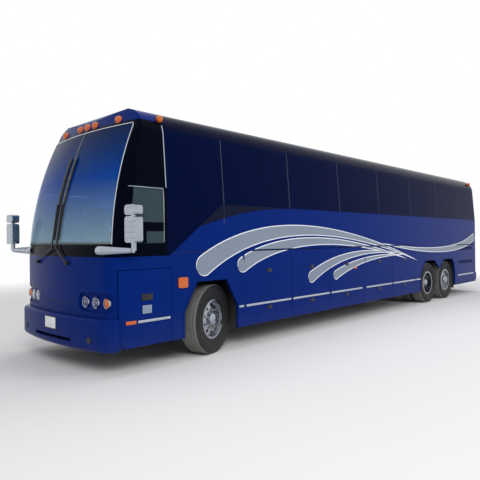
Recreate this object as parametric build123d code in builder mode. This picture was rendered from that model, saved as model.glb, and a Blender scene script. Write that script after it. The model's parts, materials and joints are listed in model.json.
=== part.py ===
from build123d import *

import os
from math import atan2, cos, degrees, hypot, pi, radians, sin, sqrt, tan

# Coach bus: a three-axle, high-deck touring coach with baggage bays under its floor.
# +X is forward, +Y is the driver's side, +Z is up, in millimetres.
# The origin is on the ground under the middle of the coach.

os.makedirs("parts", exist_ok=True)

# Overall sizes
LENGTH = 13720.0
BODY_WIDTH = 2590.0
FRONT_OVERHANG = 1930.0
WHEELBASE = 8030.0
TAG_SPACING = 1220.0
FRONT_BUMPER_PROUD = 90.0
REAR_BUMPER_PROUD = 140.0

# Walls, glass and clearances
WALL = 50.0
GLASS = 12.0
SEAM = 8.0
RUNNING = 0.3
PANEL_JOINT = 2.0
INSIDE_CLEAR = 7.0
LEDGE = 35.0
REACH = 2500.0

# Heights above the ground
SKIRT_Z = 340.0
BAND_Z = 1525.0
SCREEN_Z = 1690.0
SCREEN_TOP_Z = 3335.0
CAP_Z = 3380.0
BELT_Z = 2280.0
GLASS_TOP_Z = 3290.0
DECK_Z = 1560.0
COCKPIT_Z = 1070.0
FLOOR_PLATE = 40.0

# Cross-section of the upper body
GLASS_LEAN = radians(4.3)
COVE_Z = 3200.0
COVE_R = 400.0
CROWN_SLOPE = radians(17.6)

# Front in plan and in side view
FACE_R = 6000.0
CORNER_R = 280.0
MASK_TOP_Z = 1450.0
SCREEN_FOOT_SETBACK = 16.0
SCREEN_MID_Z = 2560.0
SCREEN_MID_SETBACK = 185.0
SCREEN_TOP_SETBACK = 480.0
SCREEN_TOP_RAKE = radians(24.0)
BROW_START = 110.0
BROW_RISE = 30.0
BROW_R = 4200.0
BROW_EDGE_R = 300.0
BROW_SLOPE = radians(14.0)
BROW_FALL = radians(66.0)
REAR_EDGE_R = 110.0

# Panel seams, as distances ahead of the front axle
FRONT_SEAM = 1640.0
CAP_SEAM = 870.0
SWOOP_FOOT = 820.0
SWOOP_TOP = -196.0
REAR_CORNER = 150.0

# Windshield half widths and the driver's window
SCREEN_HALF_FOOT = 1186.0
SCREEN_HALF_TOP = 1100.0
DRIVER_REAR = 920.0
DRIVER_FRONT_FOOT = 1500.0
DRIVER_FRONT_TOP = 1400.0
DRIVER_SILL_Z = 1700.0
DRIVER_TOP_Z = 2450.0

# Side windows
FIRST_PANE_END = -235.0
PANE_PITCH = 1658.0
PANE_COUNT = 8
POST_HALF = 45.0
RAIL = 55.0
REAR_PANE_HALF = 950.0
REAR_PANE_Z = (2400.0, 3150.0)

# Side doors between the axles, as edges behind the front axle
DOOR_GROUPS = ((-680.0, -1920.0, -3165.0, -4420.0), (-4540.0, -5810.0, -7080.0))
DOOR_TOP_Z = 1548.0
HEADER_Z = 1566.0
DOOR_FOOT_Z = 345.0
HINGE_R = 7.0
HINGE_LENGTH = 70.0
HINGE_INSET = 4.0
HINGE_END = 200.0

# Front quarter panel behind the wheel, and the front doors, as edges ahead of the front axle
QUARTER_REAR = -605.0
SERVICE_REAR = 810.0
SERVICE_TOP_Z = 1350.0
ENTRANCE_REAR = 641.0
ENTRANCE_FRONT = 1404.0
ENTRANCE_TOP_Z = 2504.0
ENTRANCE_FRAME = 90.0
ENTRANCE_SILL_Z = 1250.0
HINGE_SEAM = 14.0
PIVOT_INSET = 28.0
PIVOT_DEPTH = 20.0
PIVOT_R = 6.0
PIVOT_LENGTH = 30.0
LUG_Z = 375.0
LUG_R = 45.0

# Rear corner doors and the engine door
CORNER_DOOR_FRONT = -9960.0
CORNER_DOOR_REAR = -11360.0
CORNER_DOOR_TOP_Z = 1500.0
CORNER_DOOR_FOOT_Z = 400.0
SLOT_ROWS = (960.0, 1010.0, 1360.0, 1410.0)
SLOT_HEIGHT = 28.0
SLOT_END = 120.0
ENGINE_DOOR_HALF = 880.0
ENGINE_DOOR_FOOT_Z = 650.0
ENGINE_DOOR_TOP_Z = 1950.0
LOUVRE_COLUMNS = 7
LOUVRE_ROWS = 5
LOUVRE_WIDTH = 145.0
LOUVRE_HEIGHT = 30.0
LOUVRE_PITCH_Y = 195.0
LOUVRE_PITCH_Z = 90.0
LOUVRE_FOOT_Z = 1170.0
DOOR_PIN_R = 8.0
DOOR_PIN_LENGTH = 24.0
DOOR_PIN_DROP = 25.0
SWING_GAP = 18.0

# Front and rear bumpers
BUMPER_FOOT_Z = 300.0
BUMPER_TOP_Z = 735.0
BUMPER_TOP_R = 40.0
BUMPER_FOOT_R = 70.0
BUMPER_SLOT_HALF = 520.0
BUMPER_SLOT_Z = (395.0, 445.0)
REAR_BUMPER_Z = (380.0, 620.0)
REAR_BUMPER_INSET = 25.0
REAR_BUMPER_R = 100.0

# Headlamps: lamp middles and radii on a tray in a round-ended opening
LAMP_TRAY_Y = (690.0, 1120.0)
LAMP_TRAY_Z = 930.0
LAMP_TRAY_R = 125.0
LAMPS = ((700.0, 92.0), (905.0, 92.0), (1110.0, 80.0))
LAMP_BULGE = 22.0

# Tail lamps, marker lamps and turn lamps
TAIL_LAMP_Y = 1060.0
TAIL_LAMP_R = 75.0
TAIL_LAMP_ROWS = (1150.0, 1340.0, 1530.0)
TAIL_LAMP_PROUD = 25.0
TAIL_LAMP_EDGE_R = 15.0
BROW_LAMP_Y = (-750.0, -210.0, 0.0, 210.0, 750.0)
BROW_LAMP_RISE = 85.0
BROW_LAMP_SETBACK = 45.0
BROW_LAMP_R = 60.0
EDGE_LAMP_FRONT = 905.0
EDGE_LAMP_REAR = 330.0
EDGE_LAMP_Y = 1185.0
EDGE_LAMP_Z = 3420.0
EDGE_LAMP_R = 50.0
TURN_LAMP = (520.0, 690.0)
TURN_LAMP_Z = (1060.0, 1210.0)
TURN_LAMP_PROUD = 22.0
TURN_LAMP_R = 30.0

# Roof hatches, as distances ahead of the front axle
HATCHES = (-2400.0, -8400.0)
HATCH_LENGTH = 640.0
HATCH_WIDTH = 600.0
HATCH_TOP_Z = 3745.0
HATCH_DEPTH = 145.0
HATCH_CORNER_R = 80.0
HATCH_EDGE_R = 20.0

# Mirrors
MIRROR_OUT_Y = 1620.0
HEAD_WIDTH = 240.0
HEAD_DEPTH = 110.0
HEAD_HEIGHT = 330.0
HEAD_RISE = 100.0
HEAD_GAP = 15.0
HEAD_R = 45.0
SPOT_HEIGHT = 130.0
STEM_R = 34.0
ARM_R = 17.0
ARM_ROOT_HEIGHT = 130.0
ARM_TIP_HEIGHT = 60.0
ARM_ROOT_DEPTH = 60.0
ARM_TIP_DEPTH = 40.0

# Wipers
WIPER_PIVOT_Z = 1440.0
WIPER_ELBOW_Z = 1640.0
WIPER_HEAD_Z = 2250.0
WIPER_BLADE_Z = (1760.0, 2780.0)
WIPER_PIVOT_R = 28.0
WIPER_ARM_R = 11.0
WIPER_JOINT_R = 14.0
WIPER_BLADE_R = 15.0
WIPER_STAND = 42.0
WIPER_BLADE_STAND = 16.0

# Wheels and tyres
TYRE_R = 526.0
TYRE_WIDTH = 315.0
TREAD_WIDTH = 260.0
TREAD_EDGE = 12.0
SHOULDER_DROP = 55.0
BEAD_RISE = 20.0
BEAD_BULGE = 5.0
RIM_LIP_R = 300.0
RIM_HALF = 125.0
RIM_WALL = 15.0
RIM_WELL = 25.0
RIM_WELL_HALF = 40.0
RIM_SEAT_HALF = 60.0
DISC_FACE_OUT = 92.0
DISC_THICK = 22.0
DISC_FLAT_R = 170.0
DISC_EDGE_OUT = 72.0
HUB_R = 100.0
HUB_BACK = 40.0
HUB_END = 115.0
CAP_R = 70.0
CAP_OUT = 150.0
TWIN_DISC_HALF = 15.0
TWIN_HUB_OUT = 60.0
TWIN_CAP_R = 85.0
HAND_HOLES = 10
HAND_HOLE_R = 26.0
HAND_HOLE_CIRCLE = 205.0
WHEEL_Y = 1082.0
TWIN_SPACING = 340.0

# Axles, knuckles and tie rod
SPINDLE_R = 45.0
SPINDLE_OUT = 110.0
SPINDLE_GAP = 5.0
KINGPIN_Y = 930.0
KINGPIN_R = 25.0
BOSS_R = 50.0
FORK_HALF = 85.0
FORK_PLATE = 30.0
FORK_WIDTH = 120.0
FORK_REACH = 60.0
BEAM_WIDTH = 90.0
BEAM_UP = 60.0
BEAM_DOWN = 70.0
ARM_BACK = 200.0
EYE_R = 28.0
EYE_HEIGHT = 36.0
STEER_REST = radians(16.0)
STEER_RATIO = 16
BALL_PIN_R = 12.0
BALL_PIN_RISE = 60.0
TIE_ROD_R = 16.0
DRIVE_TUBE_R = 85.0
DRIVE_TUBE_GAP = 60.0
DIFFERENTIAL_R = 230.0
PINION_R = 90.0
PINION_REACH = 330.0
TAG_TUBE_R = 75.0
AIR_SPRING_R = 120.0

# Underframe
RAIL_Y = 420.0
RAIL_WIDTH = 80.0
RAIL_Z = 700.0
RAIL_HEIGHT = 120.0
RAIL_FRONT_GAP = 40.0
CROSS_FRONT = 160.0
CROSS_REAR = 80.0
BAY_FLOOR_Z = 355.0
BULKHEAD = 40.0
BULKHEAD_EDGES = (-660.0, -1920.0, -3165.0, -4480.0, -5810.0, -7110.0)
HOUSING_Z = 1190.0
HOUSING_PLATE = 20.0
HOUSING_IN_Y = 500.0
FRONT_WELL_END = 625.0
REAR_WELL_END = 600.0
TOW_EYE_Z = 480.0
TOW_EYE_R = 28.0
TOW_EYE_PLATE = 30.0
TOW_EYE_LENGTH = 160.0
TOW_EYE_WIDTH = 120.0
TOW_EYE_EDGE = 55.0
TOW_HANGER = 50.0
JACK_PAD = 120.0
JACK_PAD_DEPTH = 15.0
JACK_PAD_INSET = 160.0

# Cabin floor, steps, dashboard and steering wheel
DECK_FRONT = 560.0
STEP_FRONT = 1380.0
# Columns: outer edge of each tread in y, height of the tread
STEPS = ((-1225.0, 430.0), (-960.0, 750.0), (-690.0, COCKPIT_Z))
TUNNEL_FRONT = 900.0
TUNNEL_HALF = 350.0
TUNNEL_RISE = 245.0
DASH_Y = (-650.0, 1100.0)
# Columns: distance ahead of the front axle, height above the driver's platform
DASH_OUTLINE = (
    (1180.0, 330.0),
    (1300.0, 580.0),
    (1420.0, 620.0),
    (1800.0, 570.0),
    (1800.0, 0.0),
    (1400.0, 0.0),
    (1310.0, 310.0),
)
HAND_WHEEL_AHEAD = 1090.0
HAND_WHEEL_Y = 640.0
HAND_WHEEL_RISE = 690.0
HAND_WHEEL_TILT = radians(35.0)
HAND_WHEEL_R = 225.0
GRIP_R = 17.0
HORN_R = 55.0
COLUMN_R = 26.0
COLUMN_LENGTH = 320.0
SPOKES = 3

# Seats
SEAT_PITCH = 850.0
SEAT_ROWS = 13
FIRST_SEAT = 320.0
SEAT_Y = (190.0, 1190.0)
SEAT_HEIGHT = 450.0
DRIVER_SEAT = 1180.0
DRIVER_SEAT_Y = (390.0, 890.0)
DRIVER_SEAT_HEIGHT = 480.0
CUSHION = 120.0
CUSHION_LENGTH = 440.0
BACK_FOOT = 540.0
BACK_RISE = 660.0
BACK_LEAN = 150.0
BACK_THICK = 100.0
BACK_CROWN = 20.0
PEDESTAL = (110.0, 390.0)

# Engine block
ENGINE_BACK = 250.0
ENGINE_LENGTH = 1500.0
ENGINE_SIDE_GAP = 20.0
ENGINE_SUMP = 150.0
ENGINE_TOP_Z = 1450.0
ENGINE_FEET = (200.0, 1200.0)
FOOT_LENGTH = 120.0
FOOT_HEIGHT = 60.0

# Places that follow from the sizes above
HALF_WIDTH = BODY_WIDTH / 2
FRONT_AXLE_X = LENGTH / 2 - FRONT_OVERHANG
DRIVE_AXLE_X = FRONT_AXLE_X - WHEELBASE
TAG_AXLE_X = DRIVE_AXLE_X - TAG_SPACING
FACE_X = LENGTH / 2 - FRONT_BUMPER_PROUD
BODY_REAR_X = REAR_BUMPER_PROUD - LENGTH / 2
REAR_SEAM_X = BODY_REAR_X + REAR_CORNER
FRONT_SEAM_X = FRONT_AXLE_X + FRONT_SEAM
CAP_SEAM_X = FRONT_AXLE_X + CAP_SEAM
INNER_Y = HALF_WIDTH - WALL
FRAME_Y = INNER_Y - INSIDE_CLEAR
AXLE_Z = TYRE_R
SEAT_R = RIM_LIP_R - RIM_WALL
WELL_R = SEAT_R - RIM_WELL
BORE_R = SPINDLE_R + RUNNING
TWIN_HALF = TWIN_SPACING / 2
TWIN_MIDDLE_Y = WHEEL_Y - TWIN_HALF
HINGE_Z = (DOOR_TOP_Z + HEADER_Z) / 2
DECK_FOOT_Z = DECK_Z - FLOOR_PLATE
LEFT = 1
RIGHT = -1


def ahead(distance):
    """X of a place given as its distance ahead of the front axle."""
    return FRONT_AXLE_X + distance


def save(piece, name):
    """Label a finished piece and write it."""
    piece.part.label = name
    export_step(piece.part, f"parts/{name}.step")


def block(x, y, z, mode=Mode.ADD):
    """Box between pairs of limits, in the open part."""
    centre = ((x[0] + x[1]) / 2, (y[0] + y[1]) / 2, (z[0] + z[1]) / 2)
    with Locations(centre):
        Box(abs(x[1] - x[0]), abs(y[1] - y[0]), abs(z[1] - z[0]), mode=mode)


def rod(start, end, radius, mode=Mode.ADD):
    """Round bar between two points, in the open part."""
    line = Vector(*end) - Vector(*start)
    with Locations(Plane(origin=start, z_dir=line)):
        Cylinder(radius, line.length, align=(Align.CENTER, Align.CENTER, Align.MIN), mode=mode)


def side_prism(outline, side, depth=REACH):
    """Prism out from the middle plane over a side-view outline of (x, z) points."""
    with BuildPart() as prism:
        with BuildSketch(Plane.XZ):
            with BuildLine():
                Polyline(*outline, close=True)
            make_face()
        extrude(amount=-side * depth)
    return prism.part


def front_prism(outline, x_start, x_end):
    """Prism along X over a front-view outline of (y, z) points."""
    with BuildPart() as prism:
        with BuildSketch(Plane.YZ.offset(x_start)):
            with BuildLine():
                Polyline(*outline, close=True)
            make_face()
        extrude(amount=x_end - x_start)
    return prism.part


def rectangle(x, z):
    """Side-view outline between two pairs of limits."""
    return ((x[0], z[0]), (x[1], z[0]), (x[1], z[1]), (x[0], z[1]))


def plan_outline(front_x, half, face_r, corner_r, rear_x):
    """Closed plan curve in the open line: bowed face, round corners, straight sides."""
    centre_y = half - corner_r
    face_x = front_x - face_r
    centre_x = face_x + sqrt((face_r - corner_r) ** 2 - centre_y**2)
    turn = atan2(centre_y, centre_x - face_x)
    middle = (turn + pi / 2) / 2
    joint_x = face_x + face_r * cos(turn)
    joint_y = face_r * sin(turn)
    bend_x = centre_x + corner_r * cos(middle)
    bend_y = centre_y + corner_r * sin(middle)
    Line((centre_x, half), (rear_x, half))
    Line((rear_x, half), (rear_x, -half))
    Line((rear_x, -half), (centre_x, -half))
    ThreePointArc((centre_x, -half), (bend_x, -bend_y), (joint_x, -joint_y))
    ThreePointArc((joint_x, -joint_y), (front_x, 0), (joint_x, joint_y))
    ThreePointArc((joint_x, joint_y), (bend_x, bend_y), (centre_x, half))


def corner_y(x):
    """Half width of the lower body at a place on its front corner."""
    centre_y = HALF_WIDTH - CORNER_R
    centre_x = FACE_X - FACE_R + sqrt((FACE_R - CORNER_R) ** 2 - centre_y**2)
    return centre_y + sqrt(CORNER_R**2 - max(x - centre_x, 0.0) ** 2)


def face_x(y):
    """X of the lower front face at a distance from the middle plane."""
    return FACE_X - FACE_R + sqrt(FACE_R**2 - y**2)


def envelope(inset):
    """Solid inside the coach's outer skin moved inwards by inset."""
    half = HALF_WIDTH - inset
    foot_z = SKIRT_Z - REACH
    cap_top = COVE_Z + 2 * COVE_R
    cap_run = (cap_top - SCREEN_TOP_Z) * tan(SCREEN_TOP_RAKE)
    with BuildPart() as column:
        with BuildSketch(Plane.XY.offset(SKIRT_Z)):
            with BuildLine():
                plan_outline(FACE_X - inset, half, FACE_R - inset, CORNER_R - inset, -LENGTH)
            make_face()
        with BuildLine(Plane.XZ) as rake:
            foot = (-SCREEN_FOOT_SETBACK, SCREEN_Z)
            half_foot = (-SCREEN_FOOT_SETBACK / 4, (MASK_TOP_Z + SCREEN_Z) / 2)
            middle = (-SCREEN_MID_SETBACK, SCREEN_MID_Z)
            top = (-SCREEN_TOP_SETBACK, SCREEN_TOP_Z)
            Line((0, SKIRT_Z), (0, MASK_TOP_Z))
            ThreePointArc((0, MASK_TOP_Z), half_foot, foot)
            ThreePointArc(foot, middle, top)
            Line(top, (-SCREEN_TOP_SETBACK - cap_run, cap_top))
        sweep(path=rake.wires()[0], normal=(0, 0, 1))

    cove_r = COVE_R - inset
    lean_y = HALF_WIDTH - (COVE_Z - BELT_Z) * tan(GLASS_LEAN) - inset / cos(GLASS_LEAN)
    cove_y = lean_y - cove_r * cos(GLASS_LEAN)
    cove_z = COVE_Z - cove_r * sin(GLASS_LEAN)
    edge_y = cove_y + cove_r * sin(CROWN_SLOPE)
    edge_z = cove_z + cove_r * cos(CROWN_SLOPE)
    crown_r = edge_y / sin(CROWN_SLOPE)
    crown_z = edge_z + crown_r * (1 - cos(CROWN_SLOPE))
    middle = (pi / 2 - CROWN_SLOPE + GLASS_LEAN) / 2
    bend_y = cove_y + cove_r * cos(middle)
    bend_z = cove_z + cove_r * sin(middle)
    rear_x = BODY_REAR_X + inset
    brow_x = ahead(BROW_START)
    edge_r = BROW_EDGE_R - inset
    bow_r = BROW_R - inset
    top_z = crown_z + BROW_RISE
    bow = (brow_x + bow_r * sin(BROW_SLOPE / 2), top_z - bow_r * (1 - cos(BROW_SLOPE / 2)))
    brow = (brow_x + bow_r * sin(BROW_SLOPE), top_z - bow_r * (1 - cos(BROW_SLOPE)))

    def brow_edge(slope):
        run = edge_r * (sin(slope) - sin(BROW_SLOPE))
        drop = edge_r * (cos(BROW_SLOPE) - cos(slope))
        return (brow[0] + run, brow[1] - drop)

    lip = brow_edge(BROW_FALL)
    foot = (lip[0] + (lip[1] - foot_z) / tan(BROW_FALL), foot_z)
    with BuildPart() as brow_block:
        with BuildSketch(Plane.XZ.offset(-REACH)):
            with BuildLine():
                Line((-LENGTH, foot_z), (-LENGTH, top_z))
                Line((-LENGTH, top_z), (brow_x, top_z))
                ThreePointArc((brow_x, top_z), bow, brow)
                ThreePointArc(brow, brow_edge((BROW_SLOPE + BROW_FALL) / 2), lip)
                Line(lip, foot)
                Line(foot, (-LENGTH, foot_z))
            make_face()
        extrude(amount=2 * REACH)
    with BuildPart() as body:
        with BuildSketch(Plane.YZ.offset(rear_x)):
            with BuildLine():
                Line((-half, foot_z), (half, foot_z))
                Line((half, foot_z), (half, BELT_Z))
                Line((half, BELT_Z), (lean_y, COVE_Z))
                ThreePointArc((lean_y, COVE_Z), (bend_y, bend_z), (edge_y, edge_z))
                ThreePointArc((edge_y, edge_z), (0, crown_z), (-edge_y, edge_z))
                ThreePointArc((-edge_y, edge_z), (-bend_y, bend_z), (-lean_y, COVE_Z))
                Line((-lean_y, COVE_Z), (-half, BELT_Z))
                Line((-half, BELT_Z), (-half, foot_z))
            make_face()
        extrude(amount=2 * LENGTH)
        rear_face = body.faces().sort_by(Axis.X)[0]
        fillet(rear_face.edges().sort_by(Axis.Z)[1:], REAR_EDGE_R - inset)
        add(column.part, mode=Mode.INTERSECT)
        add(brow_block.part, mode=Mode.INTERSECT)
    return body.part


OUTER = envelope(0.0)
GLASS_BACK = envelope(GLASS)
INNER = envelope(WALL)

# Layers of the body, each as its outer and inner solid
WALL_SKIN = (OUTER, INNER)
GLASS_SKIN = (OUTER, GLASS_BACK)
POST_SKIN = (GLASS_BACK, INNER)


def cut_from(skin, region, cutters=()):
    """The stretch of a skin inside a region, less the cutters."""
    outside, inside = skin
    with BuildPart() as panel:
        add(region)
        add(outside, mode=Mode.INTERSECT)
        add(inside, mode=Mode.SUBTRACT)
        for cutter in cutters:
            add(cutter, mode=Mode.SUBTRACT)
    return panel


def both_sides(x, z):
    """Block over the whole width between pairs of side-view limits."""
    with BuildPart() as region:
        block(x, (-REACH, REACH), z)
    return region.part


# Outlines that neighbouring panels share

SWOOP_RISE = (BELT_Z - BAND_Z) / (SWOOP_FOOT - SWOOP_TOP)


def swoop_z(x):
    """Height of the slanted edge between the paint and the black band."""
    return BAND_Z + (ahead(SWOOP_FOOT) - x) * SWOOP_RISE


BAND_FRONT_X = {LEFT: CAP_SEAM_X, RIGHT: ahead(ENTRANCE_REAR) - SEAM}


def glass_band(side):
    """Side-view outline of the black glass band behind the windshield surround."""
    front_x = BAND_FRONT_X[side]
    foot = [(front_x, swoop_z(front_x))]
    if front_x > ahead(SWOOP_FOOT):
        foot = [(ahead(SWOOP_FOOT), BAND_Z), (front_x, BAND_Z)]
    rear = [(REAR_SEAM_X, GLASS_TOP_Z), (REAR_SEAM_X, BELT_Z), (ahead(SWOOP_TOP), BELT_Z)]
    return [(front_x, GLASS_TOP_Z)] + rear + foot


# Wheel arches, as (distance ahead of the axle, height) corners of each opening
FRONT_ARCH = (
    (583.0, 0.0),
    (583.0, 720.0),
    (469.0, 909.0),
    (332.0, 1135.0),
    (-286.0, 1135.0),
    (-481.0, 790.0),
    (-530.0, 720.0),
    (-530.0, 0.0),
)
REAR_ARCH = (
    (650.0, 0.0),
    (650.0, 720.0),
    (470.0, 1010.0),
    (320.0, 1135.0),
    (-280.0, 1135.0),
    (-TAG_SPACING / 2, 900.0),
    (280.0 - TAG_SPACING, 1135.0),
    (-320.0 - TAG_SPACING, 1135.0),
    (-470.0 - TAG_SPACING, 980.0),
    (-540.0 - TAG_SPACING, 720.0),
    (-540.0 - TAG_SPACING, 0.0),
)


def arch(corners, axle_x, side):
    """Prism of a wheel arch opening through one side."""
    return side_prism([(axle_x + x, z) for x, z in corners], side)


def door_hinges(side, door_edges, on_door):
    """Hinge knuckles of a lift-up side door, in the open part."""
    hinge_y = side * (HALF_WIDTH - HINGE_INSET)
    front_x, rear_x = door_edges
    for middle_x in (front_x - HINGE_END, rear_x + HINGE_END):
        start_x = middle_x + RUNNING / 2
        end_x = start_x + HINGE_LENGTH
        web_z = (HINGE_Z, HEADER_Z)
        if on_door:
            start_x = middle_x - RUNNING / 2 - HINGE_LENGTH
            end_x = middle_x - RUNNING / 2
            web_z = (DOOR_TOP_Z, HINGE_Z)
        rod((start_x, hinge_y, HINGE_Z), (end_x, hinge_y, HINGE_Z), HINGE_R)
        block((start_x, end_x), (hinge_y - side * HINGE_R, side * HALF_WIDTH), web_z)


SIDE_DOORS = [
    (ahead(front) - SEAM / 2, ahead(rear) + SEAM / 2)
    for group in DOOR_GROUPS
    for front, rear in zip(group, group[1:])
]
CORNER_DOOR = (ahead(CORNER_DOOR_REAR), ahead(CORNER_DOOR_FRONT))
PIVOT_X = {
    LEFT: FRONT_SEAM_X - HINGE_SEAM - PIVOT_INSET,
    RIGHT: ahead(ENTRANCE_FRONT) - PIVOT_INSET,
}


def pivot_y(side):
    """Y of the upright hinge line of the front door on one side."""
    return side * (corner_y(PIVOT_X[side]) - PIVOT_DEPTH)


def top_pins(side, grow=0.0):
    """Pins at the top ends of a rear corner door, in the open part."""
    pin_y = side * (HALF_WIDTH - WALL / 2)
    pin_z = CORNER_DOOR_TOP_Z - DOOR_PIN_DROP
    reach = DOOR_PIN_LENGTH + grow
    mode = Mode.SUBTRACT if grow else Mode.ADD
    rear_x, front_x = CORNER_DOOR
    for end_x, into in ((rear_x - SEAM, 1), (front_x + SEAM, -1)):
        tip_x = end_x + into * (SEAM + reach)
        rod((end_x, pin_y, pin_z), (tip_x, pin_y, pin_z), DOOR_PIN_R + grow, mode)


def side_wall(side):
    """Lower side of the body, from the skirt to the glass band, with its door openings."""
    outline = [
        (FRONT_SEAM_X, SKIRT_Z),
        (FRONT_SEAM_X, BAND_Z),
        (ahead(SWOOP_FOOT), BAND_Z),
        (ahead(SWOOP_TOP), BELT_Z),
        (REAR_SEAM_X, BELT_Z),
        (REAR_SEAM_X, SKIRT_Z),
    ]
    below = SKIRT_Z - WALL
    openings = [
        rectangle((ahead(group[0]), ahead(group[-1])), (below, HEADER_Z)) for group in DOOR_GROUPS
    ]
    openings.append(
        rectangle(
            (CORNER_DOOR[0] - SEAM, CORNER_DOOR[1] + SEAM),
            (CORNER_DOOR_FOOT_Z - SEAM, CORNER_DOOR_TOP_Z + SWING_GAP),
        )
    )
    front_limits = (ahead(SERVICE_REAR) - SEAM, FRONT_SEAM_X + SEAM)
    front_top = SERVICE_TOP_Z + SEAM
    if side == RIGHT:
        front_limits = (ahead(ENTRANCE_REAR) - SEAM, ahead(ENTRANCE_FRONT) + HINGE_SEAM)
        front_top = ENTRANCE_TOP_Z + SEAM
    openings.append(rectangle(front_limits, (below, front_top)))
    quarter_x = (ahead(QUARTER_REAR) - PANEL_JOINT, ahead(QUARTER_REAR))
    openings.append(rectangle(quarter_x, (below, BELT_Z + WALL)))
    cutters = [side_prism(opening, side) for opening in openings]
    cutters.append(arch(FRONT_ARCH, FRONT_AXLE_X, side))
    cutters.append(arch(REAR_ARCH, DRIVE_AXLE_X, side))
    with BuildPart() as wall:
        add(cut_from(WALL_SKIN, side_prism(outline, side), cutters).part)
        for door_edges in SIDE_DOORS:
            door_hinges(side, door_edges, on_door=False)
        top_pins(side)
        x, y = PIVOT_X[side], pivot_y(side)
        if side == LEFT:
            rod((x, y, SERVICE_TOP_Z - PIVOT_LENGTH), (x, y, SERVICE_TOP_Z + 2 * SEAM), PIVOT_R)
        else:
            hinge_lug(side)
    return wall


def hinge_lug(side):
    """Lower hinge lug of a front door, reaching back from the fixed panel ahead of it."""
    x, y = PIVOT_X[side], pivot_y(side)
    root_x = x + PIVOT_INSET + 2 * HINGE_SEAM
    rod((x, y, SKIRT_Z), (x, y, LUG_Z), PIVOT_DEPTH - SEAM / 2)
    block((x, root_x), (y - PIVOT_DEPTH / 2, y + PIVOT_DEPTH / 2), (SKIRT_Z, LUG_Z))
    rod((x, y, SKIRT_Z), (x, y, LUG_Z + PIVOT_LENGTH), PIVOT_R)


left_side_wall = side_wall(LEFT)
right_side_wall = side_wall(RIGHT)
save(left_side_wall, "left_side_wall")
save(right_side_wall, "right_side_wall")

# Side doors: each lifts up about hinges under the header
DOOR_NAMES = ("baggage_door_1", "baggage_door_2", "baggage_door_3", "side_door_4", "side_door_5")
for side, side_name in ((LEFT, "left"), (RIGHT, "right")):
    for door_edges, door_name in zip(SIDE_DOORS, DOOR_NAMES):
        with BuildPart() as side_door:
            outline = rectangle(door_edges, (DOOR_FOOT_Z, DOOR_TOP_Z))
            add(cut_from(WALL_SKIN, side_prism(outline, side)).part)
            door_hinges(side, door_edges, on_door=True)
            hinge_y = side * (HALF_WIDTH - HINGE_INSET)
            for middle_x in (door_edges[0] - HINGE_END, door_edges[1] + HINGE_END):
                start = (middle_x - RUNNING / 2, hinge_y, HINGE_Z)
                end = (middle_x + HINGE_LENGTH + SEAM, hinge_y, HINGE_Z)
                rod(start, end, HINGE_R + SEAM / 2, Mode.SUBTRACT)
        save(side_door, f"{side_name}_{door_name}")


def front_door(side, outline, foot_z, top_z):
    """Front door on upright hinge pins, cut from the wall."""
    x, y = PIVOT_X[side], pivot_y(side)
    with BuildPart() as door:
        add(cut_from(WALL_SKIN, side_prism(outline, side)).part)
        pin_foot_z = top_z - PIVOT_LENGTH - SEAM
        rod((x, y, pin_foot_z), (x, y, top_z + SEAM), PIVOT_R + RUNNING, Mode.SUBTRACT)
        rod((x, y, foot_z), (x, y, LUG_Z + RUNNING), LUG_R, Mode.SUBTRACT)
        pin_top_z = LUG_Z + PIVOT_LENGTH + SEAM
        rod((x, y, foot_z), (x, y, pin_top_z), PIVOT_R + RUNNING, Mode.SUBTRACT)
    return door


service_outline = rectangle(
    (ahead(SERVICE_REAR), FRONT_SEAM_X - HINGE_SEAM), (DOOR_FOOT_Z, SERVICE_TOP_Z)
)
service_door = front_door(LEFT, service_outline, DOOR_FOOT_Z, SERVICE_TOP_Z)
save(service_door, "service_door")

# Entrance door with its tall window


def entrance_window(margin):
    """Side-view outline of the entrance door's window, drawn in by margin."""
    edge = ENTRANCE_FRAME + margin
    return rectangle(
        (ahead(ENTRANCE_REAR) + edge, ahead(ENTRANCE_FRONT) - edge),
        (ENTRANCE_SILL_Z + margin, ENTRANCE_TOP_Z - edge),
    )


entrance_outline = rectangle(
    (ahead(ENTRANCE_REAR), ahead(ENTRANCE_FRONT)), (DOOR_FOOT_Z, ENTRANCE_TOP_Z)
)
entrance_pane = cut_from(GLASS_SKIN, side_prism(entrance_window(0.0), RIGHT))
with BuildPart() as entrance_door:
    add(front_door(RIGHT, entrance_outline, DOOR_FOOT_Z, ENTRANCE_TOP_Z).part)
    add(entrance_pane.part, mode=Mode.SUBTRACT)
    add(side_prism(entrance_window(LEDGE), RIGHT), mode=Mode.SUBTRACT)
save(entrance_door, "entrance_door")
save(entrance_pane, "entrance_door_glass")

# Windshield in two panes, and the black surround that holds it


def screen_outline(side, margin):
    """Front-view outline of one windshield pane, drawn in by margin."""
    middle = side * (SEAM / 2 + margin)
    foot = side * (SCREEN_HALF_FOOT - margin)
    head = side * (SCREEN_HALF_TOP - margin)
    low = SCREEN_Z + margin
    high = SCREEN_TOP_Z - margin
    return ((middle, low), (foot, low), (head, high), (middle, high))


with BuildPart() as windshield:
    for side in (LEFT, RIGHT):
        pane = front_prism(screen_outline(side, 0.0), CAP_SEAM_X, LENGTH / 2)
        add(cut_from(GLASS_SKIN, pane).part)
save(windshield, "windshield")


def driver_outline(margin):
    """Side-view outline of the driver's window, drawn in by margin."""
    rear_x = ahead(DRIVER_REAR) + margin
    low = DRIVER_SILL_Z + margin
    high = DRIVER_TOP_Z - margin
    front_foot = (ahead(DRIVER_FRONT_FOOT) - margin, low)
    front_top = (ahead(DRIVER_FRONT_TOP) - margin, high)
    return ((rear_x, low), front_foot, front_top, (rear_x, high))


driver_pane = cut_from(GLASS_SKIN, side_prism(driver_outline(0.0), LEFT))

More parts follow.
